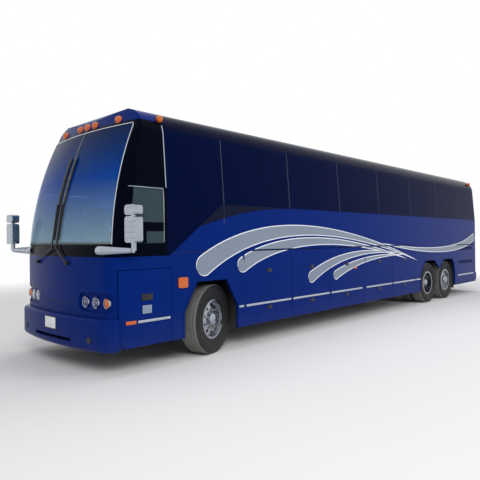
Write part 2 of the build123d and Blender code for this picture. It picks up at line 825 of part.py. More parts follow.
surround_right = rectangle(
    (BAND_FRONT_X[RIGHT], ahead(ENTRANCE_FRONT) + HINGE_SEAM), (SKIRT_Z, ENTRANCE_TOP_Z + SEAM)
)
with BuildPart() as surround_zone:
    block((CAP_SEAM_X, LENGTH / 2), (-REACH, REACH), (BAND_Z, CAP_Z))
    block((BAND_FRONT_X[RIGHT], CAP_SEAM_X), (-REACH, 0), (BAND_Z, GLASS_TOP_Z))
with BuildPart() as windshield_surround:
    add(cut_from(WALL_SKIN, surround_zone.part).part)
    block((0, CAP_SEAM_X), (-HALF_WIDTH / 2, 0), (BAND_Z, LENGTH), mode=Mode.SUBTRACT)
    add(windshield.part, mode=Mode.SUBTRACT)
    for side in (LEFT, RIGHT):
        add(front_prism(screen_outline(side, LEDGE), CAP_SEAM_X, LENGTH / 2), mode=Mode.SUBTRACT)
    add(driver_pane.part, mode=Mode.SUBTRACT)
    add(side_prism(driver_outline(LEDGE), LEFT), mode=Mode.SUBTRACT)
    add(side_prism(surround_right, RIGHT), mode=Mode.SUBTRACT)
    x, y = PIVOT_X[RIGHT], pivot_y(RIGHT)
    rod((x, y, ENTRANCE_TOP_Z - PIVOT_LENGTH), (x, y, ENTRANCE_TOP_Z + 2 * SEAM), PIVOT_R)
save(windshield_surround, "windshield_surround")

# Posts and rails behind the side panes
pane_ends = [ahead(FIRST_PANE_END - index * PANE_PITCH) for index in range(PANE_COUNT - 1)]
with BuildPart() as window_posts:
    for side in (LEFT, RIGHT):
        add(cut_from(POST_SKIN, side_prism(glass_band(side), side)).part)
    for side in (LEFT, RIGHT):
        seams = [min(CAP_SEAM_X, BAND_FRONT_X[side])] + pane_ends + [REAR_SEAM_X]
        for front, rear in zip(seams, seams[1:]):
            across = (rear + POST_HALF, front - POST_HALF)
            sight = rectangle(across, (BELT_Z + RAIL, GLASS_TOP_Z - RAIL))
            add(side_prism(sight, side), mode=Mode.SUBTRACT)
save(window_posts, "window_posts")

# Rear window in the rear wall


def rear_sight(margin):
    """Prism of the rear window's opening, drawn in by margin."""
    half = REAR_PANE_HALF - margin
    low = REAR_PANE_Z[0] + margin
    high = REAR_PANE_Z[1] - margin
    outline = ((-half, low), (half, low), (half, high), (-half, high))
    return front_prism(outline, BODY_REAR_X - WALL, REAR_SEAM_X)


rear_pane = cut_from(GLASS_SKIN, rear_sight(0.0))


def pane_grooves(side):
    """Gaps between the side panes on one side."""
    with BuildPart() as grooves:
        for x in pane_ends:
            block((x - SEAM / 2, x + SEAM / 2), (0, side * REACH), (BAND_Z, LENGTH))
    return grooves.part


with BuildPart() as windows:
    for side in (LEFT, RIGHT):
        add(cut_from(GLASS_SKIN, side_prism(glass_band(side), side), [pane_grooves(side)]).part)
    add(driver_pane.part)
    add(rear_pane.part)
save(windows, "windows")

# Roof, front cap, front mask and rear wall
roof = cut_from(WALL_SKIN, both_sides((BODY_REAR_X - WALL, CAP_SEAM_X), (GLASS_TOP_Z, LENGTH)))
save(roof, "roof")

front_cap = cut_from(WALL_SKIN, both_sides((CAP_SEAM_X, LENGTH / 2), (CAP_Z, LENGTH)))
save(front_cap, "front_cap")

# Headlamps: three round lamps on a tray in a long round-ended opening each side


def lamp_slot(side):
    """Prism of the round-ended headlamp opening on one side."""
    middle = side * (LAMP_TRAY_Y[0] + LAMP_TRAY_Y[1]) / 2
    with BuildPart() as slot:
        with BuildSketch(Plane.YZ.offset(FRONT_SEAM_X)):
            with Locations((middle, LAMP_TRAY_Z)):
                SlotCenterToCenter(LAMP_TRAY_Y[1] - LAMP_TRAY_Y[0], 2 * LAMP_TRAY_R)
        extrude(amount=LENGTH / 2 - FRONT_SEAM_X)
    return slot.part


mask_zone = both_sides((FRONT_SEAM_X, LENGTH / 2), (BUMPER_TOP_Z, BAND_Z))
front_mask = cut_from(WALL_SKIN, mask_zone, [lamp_slot(side) for side in (LEFT, RIGHT)])
save(front_mask, "front_mask")


def lens(lamp_y, lamp_r):
    """Lamp body with a domed lens, its axis along X."""
    back_x = face_x(lamp_y) - WALL
    front_x = face_x(lamp_y) - LAMP_BULGE
    with BuildPart() as lamp:
        with BuildSketch(Plane.XZ.offset(-lamp_y)):
            with BuildLine():
                Line((back_x, LAMP_TRAY_Z), (back_x, LAMP_TRAY_Z + lamp_r))
                Line((back_x, LAMP_TRAY_Z + lamp_r), (front_x, LAMP_TRAY_Z + lamp_r))
                RadiusArc(
                    (front_x, LAMP_TRAY_Z + lamp_r),
                    (front_x + LAMP_BULGE, LAMP_TRAY_Z),
                    (lamp_r**2 + LAMP_BULGE**2) / (2 * LAMP_BULGE),
                )
                Line((front_x + LAMP_BULGE, LAMP_TRAY_Z), (back_x, LAMP_TRAY_Z))
            make_face()
        revolve(axis=Axis((0, lamp_y, LAMP_TRAY_Z), (1, 0, 0)))
    return lamp.part


with BuildPart() as headlamps:
    for side in (LEFT, RIGHT):
        add(cut_from(POST_SKIN, lamp_slot(side)).part)
    for side in (LEFT, RIGHT):
        for lamp_y, lamp_r in LAMPS:
            add(lens(side * lamp_y, lamp_r))
save(headlamps, "headlamps")

# Front bumper: the face's own plan moved forward, flush with the sides
with BuildPart() as front_bumper:
    with BuildSketch(Plane.XY.offset(BUMPER_FOOT_Z)):
        with BuildLine():
            plan_outline(LENGTH / 2, HALF_WIDTH, FACE_R, CORNER_R, 0.0)
        make_face()
    extrude(amount=BUMPER_TOP_Z - BUMPER_FOOT_Z)
    round_edges = front_bumper.edges().filter_by(GeomType.CIRCLE).group_by(Axis.Z)
    fillet(round_edges[-1], BUMPER_TOP_R)
    round_edges = front_bumper.edges().filter_by(GeomType.CIRCLE).group_by(Axis.Z)
    fillet(round_edges[0], BUMPER_FOOT_R)
    block((0, FRONT_SEAM_X), (-REACH, REACH), (0, LENGTH), mode=Mode.SUBTRACT)
    with BuildSketch(Plane.XY.offset(BUMPER_FOOT_Z)):
        with BuildLine():
            plan_outline(FACE_X - WALL, INNER_Y, FACE_R - WALL, CORNER_R - WALL, 0.0)
        make_face()
    extrude(amount=BUMPER_TOP_Z - BUMPER_FOOT_Z, mode=Mode.SUBTRACT)
    slot_y = (-BUMPER_SLOT_HALF, BUMPER_SLOT_HALF)
    block((FRONT_SEAM_X, LENGTH), slot_y, BUMPER_SLOT_Z, mode=Mode.SUBTRACT)
    hinge_lug(LEFT)
save(front_bumper, "front_bumper")

# Rear wall with the engine door's opening


def engine_outline(side_gap, foot_gap, top_gap):
    """Rear-view outline of the engine door, grown by its gaps."""
    half = ENGINE_DOOR_HALF + side_gap
    low = ENGINE_DOOR_FOOT_Z - foot_gap
    high = ENGINE_DOOR_TOP_Z + top_gap
    return ((-half, low), (half, low), (half, high), (-half, high))


def engine_pins(grow=0.0):
    """Pins at the top ends of the engine door, in the open part."""
    pin_x = BODY_REAR_X + WALL / 2
    pin_z = ENGINE_DOOR_TOP_Z - DOOR_PIN_DROP
    mode = Mode.SUBTRACT if grow else Mode.ADD
    inner = ENGINE_DOOR_HALF - DOOR_PIN_LENGTH - grow
    outer = ENGINE_DOOR_HALF + SEAM
    for side in (LEFT, RIGHT):
        rod((pin_x, side * inner, pin_z), (pin_x, side * outer, pin_z), DOOR_PIN_R + grow, mode)


rear_zone = both_sides((BODY_REAR_X - WALL, REAR_SEAM_X), (SKIRT_Z, GLASS_TOP_Z))
with BuildPart() as rear_wall:
    rear_cutters = [
        front_prism(engine_outline(SEAM, SEAM, SWING_GAP), BODY_REAR_X - WALL, REAR_SEAM_X),
        rear_pane.part,
        rear_sight(LEDGE),
    ]
    add(cut_from(WALL_SKIN, rear_zone, rear_cutters).part)
    engine_pins()
save(rear_wall, "rear_wall")

# Engine door and rear corner doors, hung by pins at their top ends
engine_zone = front_prism(engine_outline(0.0, 0.0, 0.0), BODY_REAR_X - WALL, REAR_SEAM_X)
with BuildPart() as engine_door:
    add(cut_from(WALL_SKIN, engine_zone).part)
    engine_pins(grow=RUNNING)
    for column in range(LOUVRE_COLUMNS):
        louvre_y = (column - (LOUVRE_COLUMNS - 1) / 2) * LOUVRE_PITCH_Y
        for row in range(LOUVRE_ROWS):
            louvre_z = LOUVRE_FOOT_Z + row * LOUVRE_PITCH_Z
            block(
                (BODY_REAR_X - WALL, REAR_SEAM_X),
                (louvre_y - LOUVRE_WIDTH / 2, louvre_y + LOUVRE_WIDTH / 2),
                (louvre_z, louvre_z + LOUVRE_HEIGHT),
                mode=Mode.SUBTRACT,
            )
save(engine_door, "engine_door")

for side, door_name in ((LEFT, "radiator_door"), (RIGHT, "battery_door")):
    with BuildPart() as corner_door:
        outline = rectangle(CORNER_DOOR, (CORNER_DOOR_FOOT_Z, CORNER_DOOR_TOP_Z))
        add(cut_from(WALL_SKIN, side_prism(outline, side)).part)
        top_pins(side, grow=RUNNING)
        for low in SLOT_ROWS:
            block(
                (CORNER_DOOR[0] + SLOT_END, CORNER_DOOR[1] - SLOT_END),
                (0, side * REACH),
                (low, low + SLOT_HEIGHT),
                mode=Mode.SUBTRACT,
            )
    save(corner_door, door_name)

with BuildPart() as rear_bumper:
    rear_bumper_half = HALF_WIDTH - REAR_BUMPER_INSET
    block((-LENGTH / 2, BODY_REAR_X), (-rear_bumper_half, rear_bumper_half), REAR_BUMPER_Z)
    outer_edges = rear_bumper.edges().filter_by(Axis.Z).group_by(Axis.X)[0]
    fillet(outer_edges, REAR_BUMPER_R)
save(rear_bumper, "rear_bumper")

# Tail lamps: three round lenses up each rear corner
with BuildPart() as tail_lamps:
    for side in (LEFT, RIGHT):
        for lamp_z in TAIL_LAMP_ROWS:
            start = (BODY_REAR_X, side * TAIL_LAMP_Y, lamp_z)
            end = (BODY_REAR_X - TAIL_LAMP_PROUD, side * TAIL_LAMP_Y, lamp_z)
            rod(start, end, TAIL_LAMP_R)
    lens_edges = tail_lamps.edges().filter_by(GeomType.CIRCLE).group_by(Axis.X)[0]
    fillet(lens_edges, TAIL_LAMP_EDGE_R)
save(tail_lamps, "tail_lamps")

# Marker lamps along the brow, on the roof edges and ahead of the front arches, seated on the skin
with BuildPart() as marker_lamps:
    for side in (LEFT, RIGHT):
        turn_y = (side * (HALF_WIDTH - WALL), side * (HALF_WIDTH + TURN_LAMP_PROUD))
        block((ahead(TURN_LAMP[0]), ahead(TURN_LAMP[1])), turn_y, TURN_LAMP_Z)
    fillet(marker_lamps.edges().filter_by(Axis.Y), TURN_LAMP_R)
    for lamp_y in BROW_LAMP_Y:
        lamp_x = face_x(lamp_y) - SCREEN_TOP_SETBACK - BROW_LAMP_SETBACK
        with Locations((lamp_x, lamp_y, SCREEN_TOP_Z + BROW_LAMP_RISE)):
            Sphere(BROW_LAMP_R)
    for side in (LEFT, RIGHT):
        for lamp_x in (ahead(EDGE_LAMP_FRONT), BODY_REAR_X + EDGE_LAMP_REAR):
            with Locations((lamp_x, side * EDGE_LAMP_Y, EDGE_LAMP_Z)):
                Sphere(EDGE_LAMP_R)
    add(OUTER, mode=Mode.SUBTRACT)
save(marker_lamps, "marker_lamps")

# Roof hatches, seated on the crown
with BuildPart() as roof_hatches:
    for distance in HATCHES:
        hatch_x = (ahead(distance) - HATCH_LENGTH / 2, ahead(distance) + HATCH_LENGTH / 2)
        hatch_y = (-HATCH_WIDTH / 2, HATCH_WIDTH / 2)
        block(hatch_x, hatch_y, (HATCH_TOP_Z - HATCH_DEPTH, HATCH_TOP_Z))
    fillet(roof_hatches.edges().filter_by(Axis.Z), HATCH_CORNER_R)
    fillet(roof_hatches.faces().group_by(Axis.Z)[-1].edges(), HATCH_EDGE_R)
    add(OUTER, mode=Mode.SUBTRACT)
save(roof_hatches, "roof_hatches")

# Mirrors: chrome heads on tapered arms from the sill corners
# Columns: side, head ahead of the axle, arm root (ahead, y), arm height
MIRRORS = (
    (LEFT, 1560.0, (1690.0, 1010.0), 1610.0),
    (RIGHT, 1830.0, (1690.0, 1010.0), 1600.0),
)


def mirror_unit(side, head, root, arm_z):
    """One mirror: a tapered arm, a main head and a small wide-view head over it."""
    head_x = ahead(head)
    head_y = side * (MIRROR_OUT_Y - HEAD_WIDTH / 2)
    root_point = Vector(ahead(root[0]), side * root[1], arm_z)
    tip_point = Vector(head_x, head_y, arm_z)
    along = tip_point - root_point
    main_z = arm_z + HEAD_RISE + HEAD_HEIGHT / 2
    spot_z = main_z + HEAD_HEIGHT / 2 + HEAD_GAP + SPOT_HEIGHT / 2
    with BuildPart() as unit:
        with BuildSketch(Plane(origin=root_point, x_dir=(0, 0, 1), z_dir=along)):
            RectangleRounded(ARM_ROOT_HEIGHT, ARM_ROOT_DEPTH, ARM_R)
        with BuildSketch(Plane(origin=tip_point, x_dir=(0, 0, 1), z_dir=along)):
            RectangleRounded(ARM_TIP_HEIGHT, ARM_TIP_DEPTH, ARM_R)
        loft()
        with Locations((head_x, head_y, main_z)):
            Box(HEAD_DEPTH, HEAD_WIDTH, HEAD_HEIGHT)
        with Locations((head_x, head_y, spot_z)):
            Box(HEAD_DEPTH, HEAD_WIDTH, SPOT_HEIGHT)
        fillet(unit.edges().filter_by(Axis.X), HEAD_R)
        rod((head_x, head_y, arm_z), (head_x, head_y, spot_z), STEM_R)
        add(OUTER, mode=Mode.SUBTRACT)
    return unit


with BuildPart() as mirrors:
    for row in MIRRORS:
        add(mirror_unit(*row).part)
save(mirrors, "mirrors")

# Wipers: parked upright beside the middle of the windshield
# Columns: y of the parked blade, y of the pivot
WIPERS = ((60.0, 330.0), (-70.0, -600.0))


def screen_setback(z):
    """Setback of the windshield's middle line behind the mask at a height."""
    if z <= SCREEN_Z:
        return SCREEN_FOOT_SETBACK * max(0.0, z - MASK_TOP_Z) / (SCREEN_Z - MASK_TOP_Z)
    rise = (z - SCREEN_Z) / (SCREEN_TOP_Z - SCREEN_Z)
    span = SCREEN_TOP_SETBACK - SCREEN_FOOT_SETBACK
    middle = (SCREEN_MID_Z - SCREEN_Z) / (SCREEN_TOP_Z - SCREEN_Z)
    bow = (span * middle + SCREEN_FOOT_SETBACK - SCREEN_MID_SETBACK) / (middle * (1 - middle))
    return SCREEN_FOOT_SETBACK + span * rise - bow * rise * (1 - rise)


def screen_point(y, z, proud):
    """Place in front of the windshield or sill, standing proud of it."""
    return (face_x(y) - screen_setback(z) + proud, y, z)


def wiper_unit(blade_y, foot_y):
    """One wiper: pivot, cranked arm and blade."""
    pivot = screen_point(foot_y, WIPER_PIVOT_Z, WIPER_STAND)
    elbow = screen_point(blade_y, WIPER_ELBOW_Z, WIPER_STAND)
    head = screen_point(blade_y, WIPER_HEAD_Z, WIPER_STAND)
    with BuildPart() as unit:
        rod((pivot[0] - 2 * WALL, pivot[1], pivot[2]), pivot, WIPER_PIVOT_R)
        rod(pivot, elbow, WIPER_ARM_R)
        rod(elbow, head, WIPER_ARM_R)
        with Locations(pivot, elbow, head):
            Sphere(WIPER_JOINT_R)
        overlap = WIPER_BLADE_R / 2
        spans = (
            (WIPER_BLADE_Z[0], WIPER_HEAD_Z + overlap),
            (WIPER_HEAD_Z - overlap, WIPER_BLADE_Z[1]),
        )
        for low, high in spans:
            low_point = screen_point(blade_y, low, WIPER_BLADE_STAND)
            high_point = screen_point(blade_y, high, WIPER_BLADE_STAND)
            rod(low_point, high_point, WIPER_BLADE_R)
        rod(head, screen_point(blade_y, WIPER_HEAD_Z, 0.0), WIPER_ARM_R)
        add(OUTER, mode=Mode.SUBTRACT)
    return unit


with BuildPart() as wipers:
    for blade_y, foot_y in WIPERS:
        add(wiper_unit(blade_y, foot_y).part)
save(wipers, "wipers")

# Underframe: bay floor, bulkheads and jacking pads
BULKHEADS = [ahead(edge) for edge in BULKHEAD_EDGES]
BAYS_FRONT_X = BULKHEADS[0] + BULKHEAD / 2
BAYS_REAR_X = BULKHEADS[-1] - BULKHEAD / 2
FRONT_WELL_X = ahead(FRONT_WELL_END)
REAR_WELL_X = TAG_AXLE_X - REAR_WELL_END
RAIL_FRONT_X = FACE_X - WALL - RAIL_FRONT_GAP
RAIL_REAR_X = BODY_REAR_X + WALL + INSIDE_CLEAR
HOUSING_TOP_Z = HOUSING_Z + HOUSING_PLATE
rail_z = (RAIL_Z, RAIL_Z + RAIL_HEIGHT)
across = (-FRAME_Y, FRAME_Y)


def tow_eye(side, end_x, into):
    """Level tow plate with an upright pin hole, hung under a rail's end, in the open part."""
    plate_y = (side * RAIL_Y - TOW_EYE_WIDTH / 2, side * RAIL_Y + TOW_EYE_WIDTH / 2)
    hanger_y = (side * RAIL_Y - RAIL_WIDTH / 2, side * RAIL_Y + RAIL_WIDTH / 2)
    plate_z = (TOW_EYE_Z - TOW_EYE_PLATE / 2, TOW_EYE_Z + TOW_EYE_PLATE / 2)
    root_x = end_x + into * TOW_EYE_LENGTH
    eye_x = end_x + into * TOW_EYE_EDGE
    block((end_x, root_x), plate_y, plate_z)
    block((root_x - into * TOW_HANGER, root_x), hanger_y, (plate_z[0], RAIL_Z))
    start = (eye_x, side * RAIL_Y, plate_z[0])
    end = (eye_x, side * RAIL_Y, plate_z[1])
    rod(start, end, TOW_EYE_R, Mode.SUBTRACT)


def wheel_housing(side, rear_x, front_x, end_x):
    """Roof, inner wall and one end plate of a wheel housing, in the open part."""
    inner_y = side * (HOUSING_IN_Y - HOUSING_PLATE)
    into = 1 if end_x == rear_x else -1
    block((rear_x, front_x), (inner_y, side * INNER_Y), (HOUSING_Z, HOUSING_TOP_Z))
    block((rear_x, front_x), (inner_y, side * HOUSING_IN_Y), (RAIL_Z, HOUSING_TOP_Z))
    end_plate = (end_x, end_x + into * HOUSING_PLATE)
    block(end_plate, (inner_y, side * FRAME_Y), (BAY_FLOOR_Z, HOUSING_TOP_Z))


with BuildPart() as underframe:
    block((BULKHEADS[-1], BULKHEADS[0]), across, (BAY_FLOOR_Z, BAY_FLOOR_Z + BULKHEAD))
    for x in BULKHEADS:
        block((x - BULKHEAD / 2, x + BULKHEAD / 2), across, (BAY_FLOOR_Z, DECK_FOOT_Z))
    for side in (LEFT, RIGHT):
        pad_y = side * (FRAME_Y - JACK_PAD_INSET)
        for pad_x in (BULKHEADS[0] - JACK_PAD / 2, BULKHEADS[-1] + JACK_PAD / 2):
            with Locations((pad_x, pad_y, BAY_FLOOR_Z)):
                Box(JACK_PAD, JACK_PAD, 2 * JACK_PAD_DEPTH)
save(underframe, "underframe")

# Frame rails ahead of and behind the bays, with their cross members and tow eyes
with BuildPart() as frame_rails:
    for side in (LEFT, RIGHT):
        rail_y = (side * RAIL_Y - RAIL_WIDTH / 2, side * RAIL_Y + RAIL_WIDTH / 2)
        block((BAYS_FRONT_X, RAIL_FRONT_X), rail_y, rail_z)
        block((RAIL_REAR_X, BAYS_REAR_X), rail_y, rail_z)
        tow_eye(side, RAIL_FRONT_X, -1)
        tow_eye(side, RAIL_REAR_X, 1)
    for cross_x in (RAIL_FRONT_X - CROSS_FRONT, RAIL_REAR_X + CROSS_REAR):
        block((cross_x, cross_x + RAIL_WIDTH), (-RAIL_Y, RAIL_Y), rail_z)
save(frame_rails, "frame_rails")

with BuildPart() as wheel_housings:
    for side in (LEFT, RIGHT):
        wheel_housing(side, BAYS_FRONT_X, FRONT_WELL_X, FRONT_WELL_X)
        wheel_housing(side, REAR_WELL_X, BAYS_REAR_X, REAR_WELL_X)
save(wheel_housings, "wheel_housings")

# Cabin floor: passenger deck, driver's platform and entrance steps
DECK_FRONT_X = ahead(DECK_FRONT)
STEP_WELL = (FRONT_WELL_X, ahead(STEP_FRONT))
# Room inside the service door's hinge for the edge that swings in as it opens
DOOR_SWEEP = hypot(PIVOT_INSET, WALL) + PIVOT_DEPTH + INSIDE_CLEAR
with BuildPart() as cabin_floor:
    block((BODY_REAR_X, DECK_FRONT_X), across, (DECK_FOOT_Z, DECK_Z))
    riser_z = (HOUSING_TOP_Z, DECK_FOOT_Z - PANEL_JOINT)
    block((DECK_FRONT_X - FLOOR_PLATE, DECK_FRONT_X), across, riser_z)
    landing_x = (DECK_FRONT_X - FLOOR_PLATE, FRONT_WELL_X + FLOOR_PLATE)
    block(landing_x, across, (HOUSING_TOP_Z, HOUSING_TOP_Z + FLOOR_PLATE))
    platform_y = (STEPS[-1][0], pivot_y(LEFT) - DOOR_SWEEP)
    platform_foot_z = COCKPIT_Z - FLOOR_PLATE
    block((FRONT_WELL_X, FACE_X), platform_y, (platform_foot_z, COCKPIT_Z))
    riser_x = (FRONT_WELL_X, FRONT_WELL_X + FLOOR_PLATE)
    block(riser_x, platform_y, (platform_foot_z, HOUSING_TOP_Z))
    for (out_y, tread_z), (in_y, next_z) in zip(STEPS, STEPS[1:]):
        block(STEP_WELL, (out_y, in_y + FLOOR_PLATE), (tread_z - FLOOR_PLATE, tread_z))
        block(STEP_WELL, (in_y, in_y + FLOOR_PLATE), (tread_z - FLOOR_PLATE, next_z))
    tunnel_z = (platform_foot_z, COCKPIT_Z + TUNNEL_RISE)
    block((FRONT_WELL_X, ahead(TUNNEL_FRONT)), (-TUNNEL_HALF, TUNNEL_HALF), tunnel_z)
    add(INNER, mode=Mode.INTERSECT)
save(cabin_floor, "cabin_floor")

# Steering wheel and its column
hand_wheel_centre = (ahead(HAND_WHEEL_AHEAD), HAND_WHEEL_Y, COCKPIT_Z + HAND_WHEEL_RISE)
hand_wheel_axis = (-sin(HAND_WHEEL_TILT), 0.0, cos(HAND_WHEEL_TILT))


def down_column(distance):
    """Place on the steering column below the wheel's centre."""
    return tuple(c - distance * a for c, a in zip(hand_wheel_centre, hand_wheel_axis))


with BuildPart() as steering_wheel:
    with Locations(Plane(origin=hand_wheel_centre, z_dir=hand_wheel_axis)):
        Torus(HAND_WHEEL_R, GRIP_R)
        Cylinder(HORN_R, 2 * GRIP_R)
        with PolarLocations(HAND_WHEEL_R / 2, SPOKES, degrees(STEER_REST) * STEER_RATIO):
            Box(HAND_WHEEL_R, 2 * GRIP_R, GRIP_R)
    rod(down_column(COLUMN_LENGTH), hand_wheel_centre, COLUMN_R)
save(steering_wheel, "steering_wheel")

# Dashboard: a moulded bank on the platform, shaped by the inside of the front
with BuildPart() as dashboard:
    with BuildSketch(Plane.XZ.offset(-DASH_Y[1])):
        with BuildLine():
            Polyline(*[(ahead(x), COCKPIT_Z + rise) for x, rise in DASH_OUTLINE], close=True)
        make_face()
    extrude(amount=DASH_Y[1] - DASH_Y[0])
    add(INNER, mode=Mode.INTERSECT)
    column_end = down_column(COLUMN_LENGTH + SEAM)
    rod(column_end, hand_wheel_centre, COLUMN_R + RUNNING, Mode.SUBTRACT)
save(dashboard, "dashboard")

# Seats: cushion, raked back and pedestal in one side-view outline


def seat(front_x, floor_z, y, height):
    """One seat or seat pair between two y limits."""
    cushion_z = floor_z + height
    under_z = cushion_z - CUSHION
    back_x = front_x - BACK_FOOT - BACK_LEAN
    outline = (
        (front_x, cushion_z),
        (front_x, under_z),
        (front_x - PEDESTAL[0], under_z),
        (front_x - PEDESTAL[0], floor_z),
        (front_x - PEDESTAL[1], floor_z),
        (front_x - PEDESTAL[1], under_z),
        (front_x - BACK_FOOT, under_z),
        (back_x, cushion_z + BACK_RISE),
        (back_x + BACK_THICK, cushion_z + BACK_RISE + BACK_CROWN),
        (front_x - CUSHION_LENGTH, cushion_z),
    )
    with BuildPart() as unit:
        with BuildSketch(Plane.XZ.offset(-max(y))):
            with BuildLine():
                Polyline(*outline, close=True)
            make_face()
        extrude(amount=max(y) - min(y))
    return unit.part


with BuildPart() as seats:
    add(seat(ahead(DRIVER_SEAT), COCKPIT_Z, DRIVER_SEAT_Y, DRIVER_SEAT_HEIGHT))
    for row in range(SEAT_ROWS):
        front_x = ahead(FIRST_SEAT - row * SEAT_PITCH)
        for side in (LEFT, RIGHT):
            add(seat(front_x, DECK_Z, [side * y for y in SEAT_Y], SEAT_HEIGHT))
save(seats, "seats")

# Engine: one plain block on feet over the rear rails
engine_x = BODY_REAR_X + ENGINE_BACK
engine_y = RAIL_Y - RAIL_WIDTH / 2 - ENGINE_SIDE_GAP
with BuildPart() as engine_block:
    engine_z = (RAIL_Z - ENGINE_SUMP, ENGINE_TOP_Z)
    block((engine_x, engine_x + ENGINE_LENGTH), (-engine_y, engine_y), engine_z)
    for side in (LEFT, RIGHT):
        for foot in ENGINE_FEET:
            foot_x = (engine_x + foot, engine_x + foot + FOOT_LENGTH)
            foot_y = (0, side * (RAIL_Y + RAIL_WIDTH / 2))
            block(foot_x, foot_y, (rail_z[1], rail_z[1] + FOOT_HEIGHT))
save(engine_block, "engine_block")

# Axles, knuckles and tie rod


def air_springs(axle_x):
    """Air springs between an axle and the rails, in the open part."""
    for side in (LEFT, RIGHT):
        rod((axle_x, side * RAIL_Y, AXLE_Z), (axle_x, side * RAIL_Y, RAIL_Z), AIR_SPRING_R)


def cross_tube(axle_x, half, radius):
    """Round tube across the coach at axle height, in the open part."""
    rod((axle_x, -half, AXLE_Z), (axle_x, half, AXLE_Z), radius)


with BuildPart() as front_axle:
    beam_x = (FRONT_AXLE_X - BEAM_WIDTH / 2, FRONT_AXLE_X + BEAM_WIDTH / 2)
    block(beam_x, (-KINGPIN_Y, KINGPIN_Y), (AXLE_Z - BEAM_DOWN, AXLE_Z + BEAM_UP))
    air_springs(FRONT_AXLE_X)
    for side in (LEFT, RIGHT):
        low = (FRONT_AXLE_X, side * KINGPIN_Y, AXLE_Z - FORK_HALF + RUNNING)
        high = (FRONT_AXLE_X, side * KINGPIN_Y, AXLE_Z + FORK_HALF - RUNNING)
        rod(low, high, BOSS_R)
        rod(low, high, KINGPIN_R + RUNNING, Mode.SUBTRACT)
save(front_axle, "front_axle")

ARM_Z = AXLE_Z - FORK_HALF - FORK_PLATE / 2


def steered(part, side):
    """A front piece turned about its kingpin to the parked steering angle."""
    kingpin = Axis((FRONT_AXLE_X, side * KINGPIN_Y, 0), (0, 0, 1))
    with BuildPart() as piece:
        add(part.rotate(kingpin, degrees(STEER_REST)))
    return piece


def knuckle(side):
    """Steering knuckle pointing straight ahead: fork, kingpin, spindle and steering arm."""
    pin_y = side * KINGPIN_Y
    back_y = side * (KINGPIN_Y + BOSS_R + SEAM)
    out_y = side * (KINGPIN_Y + BOSS_R + SEAM + FORK_PLATE)
    fork_x = (FRONT_AXLE_X - FORK_WIDTH / 2, FRONT_AXLE_X + FORK_WIDTH / 2)
    fork_z = (AXLE_Z - FORK_HALF - FORK_PLATE, AXLE_Z + FORK_HALF + FORK_PLATE)
    tip_y = side * (WHEEL_Y + SPINDLE_OUT)
    ball_x = FRONT_AXLE_X - ARM_BACK
    with BuildPart() as part:
        for low in (fork_z[0], fork_z[1] - FORK_PLATE):
            block(fork_x, (side * (KINGPIN_Y - FORK_REACH), out_y), (low, low + FORK_PLATE))
        block(fork_x, (back_y, out_y), fork_z)
        rod((FRONT_AXLE_X, pin_y, fork_z[0]), (FRONT_AXLE_X, pin_y, fork_z[1]), KINGPIN_R)
        rod((FRONT_AXLE_X, back_y, AXLE_Z), (FRONT_AXLE_X, tip_y, AXLE_Z), SPINDLE_R)
        rod((FRONT_AXLE_X, pin_y, ARM_Z), (ball_x, pin_y, ARM_Z), FORK_PLATE / 2)
        with Locations((ball_x, pin_y, ARM_Z)):
            Cylinder(EYE_R, FORK_PLATE)
        rod((ball_x, pin_y, ARM_Z), (ball_x, pin_y, ARM_Z + BALL_PIN_RISE), BALL_PIN_R)
    return part.part


knuckle_left = steered(knuckle(LEFT), LEFT)
knuckle_right = steered(knuckle(RIGHT), RIGHT)
save(knuckle_left, "knuckle_left")
save(knuckle_right, "knuckle_right")

# Tie rod between the two steering arms, which stay parallel as they turn
with BuildPart() as tie_rod:
    rod_x = FRONT_AXLE_X - ARM_BACK * cos(STEER_REST)
    rod_z = ARM_Z + FORK_PLATE / 2 + RUNNING + EYE_HEIGHT / 2
    eyes_y = [side * KINGPIN_Y - ARM_BACK * sin(STEER_REST) for side in (LEFT, RIGHT)]
    rod((rod_x, eyes_y[0], rod_z), (rod_x, eyes_y[1], rod_z), TIE_ROD_R)
    with Locations(*[(rod_x, eye_y, rod_z) for eye_y in eyes_y]):
        Cylinder(EYE_R, EYE_HEIGHT)
    with Locations(*[(rod_x, eye_y, rod_z) for eye_y in eyes_y]):
        Cylinder(BALL_PIN_R + RUNNING, EYE_HEIGHT, mode=Mode.SUBTRACT)
save(tie_rod, "tie_rod")

with BuildPart() as drive_axle:
    cross_tube(DRIVE_AXLE_X, TWIN_MIDDLE_Y - DRIVE_TUBE_GAP, DRIVE_TUBE_R)
    cross_tube(DRIVE_AXLE_X, TWIN_MIDDLE_Y + TWIN_HALF, SPINDLE_R)
    with Locations((DRIVE_AXLE_X, 0, AXLE_Z)):
        Sphere(DIFFERENTIAL_R)
    rod((DRIVE_AXLE_X, 0, AXLE_Z), (DRIVE_AXLE_X + PINION_REACH, 0, AXLE_Z), PINION_R)
    air_springs(DRIVE_AXLE_X)
save(drive_axle, "drive_axle")

with BuildPart() as tag_axle:
    cross_tube(TAG_AXLE_X, KINGPIN_Y, TAG_TUBE_R)
    cross_tube(TAG_AXLE_X, WHEEL_Y + SPINDLE_OUT, SPINDLE_R)
    air_springs(TAG_AXLE_X)
save(tag_axle, "tag_axle")

# Wheels: turned profiles of (radius, distance out from the middle)


def turned(profile, axle_x, side, middle_y):
    """Revolve a wheel or tyre profile about its axle."""
    with BuildPart() as piece:
        with BuildSketch(Plane((axle_x, side * middle_y, AXLE_Z))):
            with BuildLine():
                Polyline(*[(radius, side * out) for radius, out in profile], close=True)
            make_face()
        revolve(axis=Axis((axle_x, 0, AXLE_Z), (0, 1, 0)))
    return piece.part


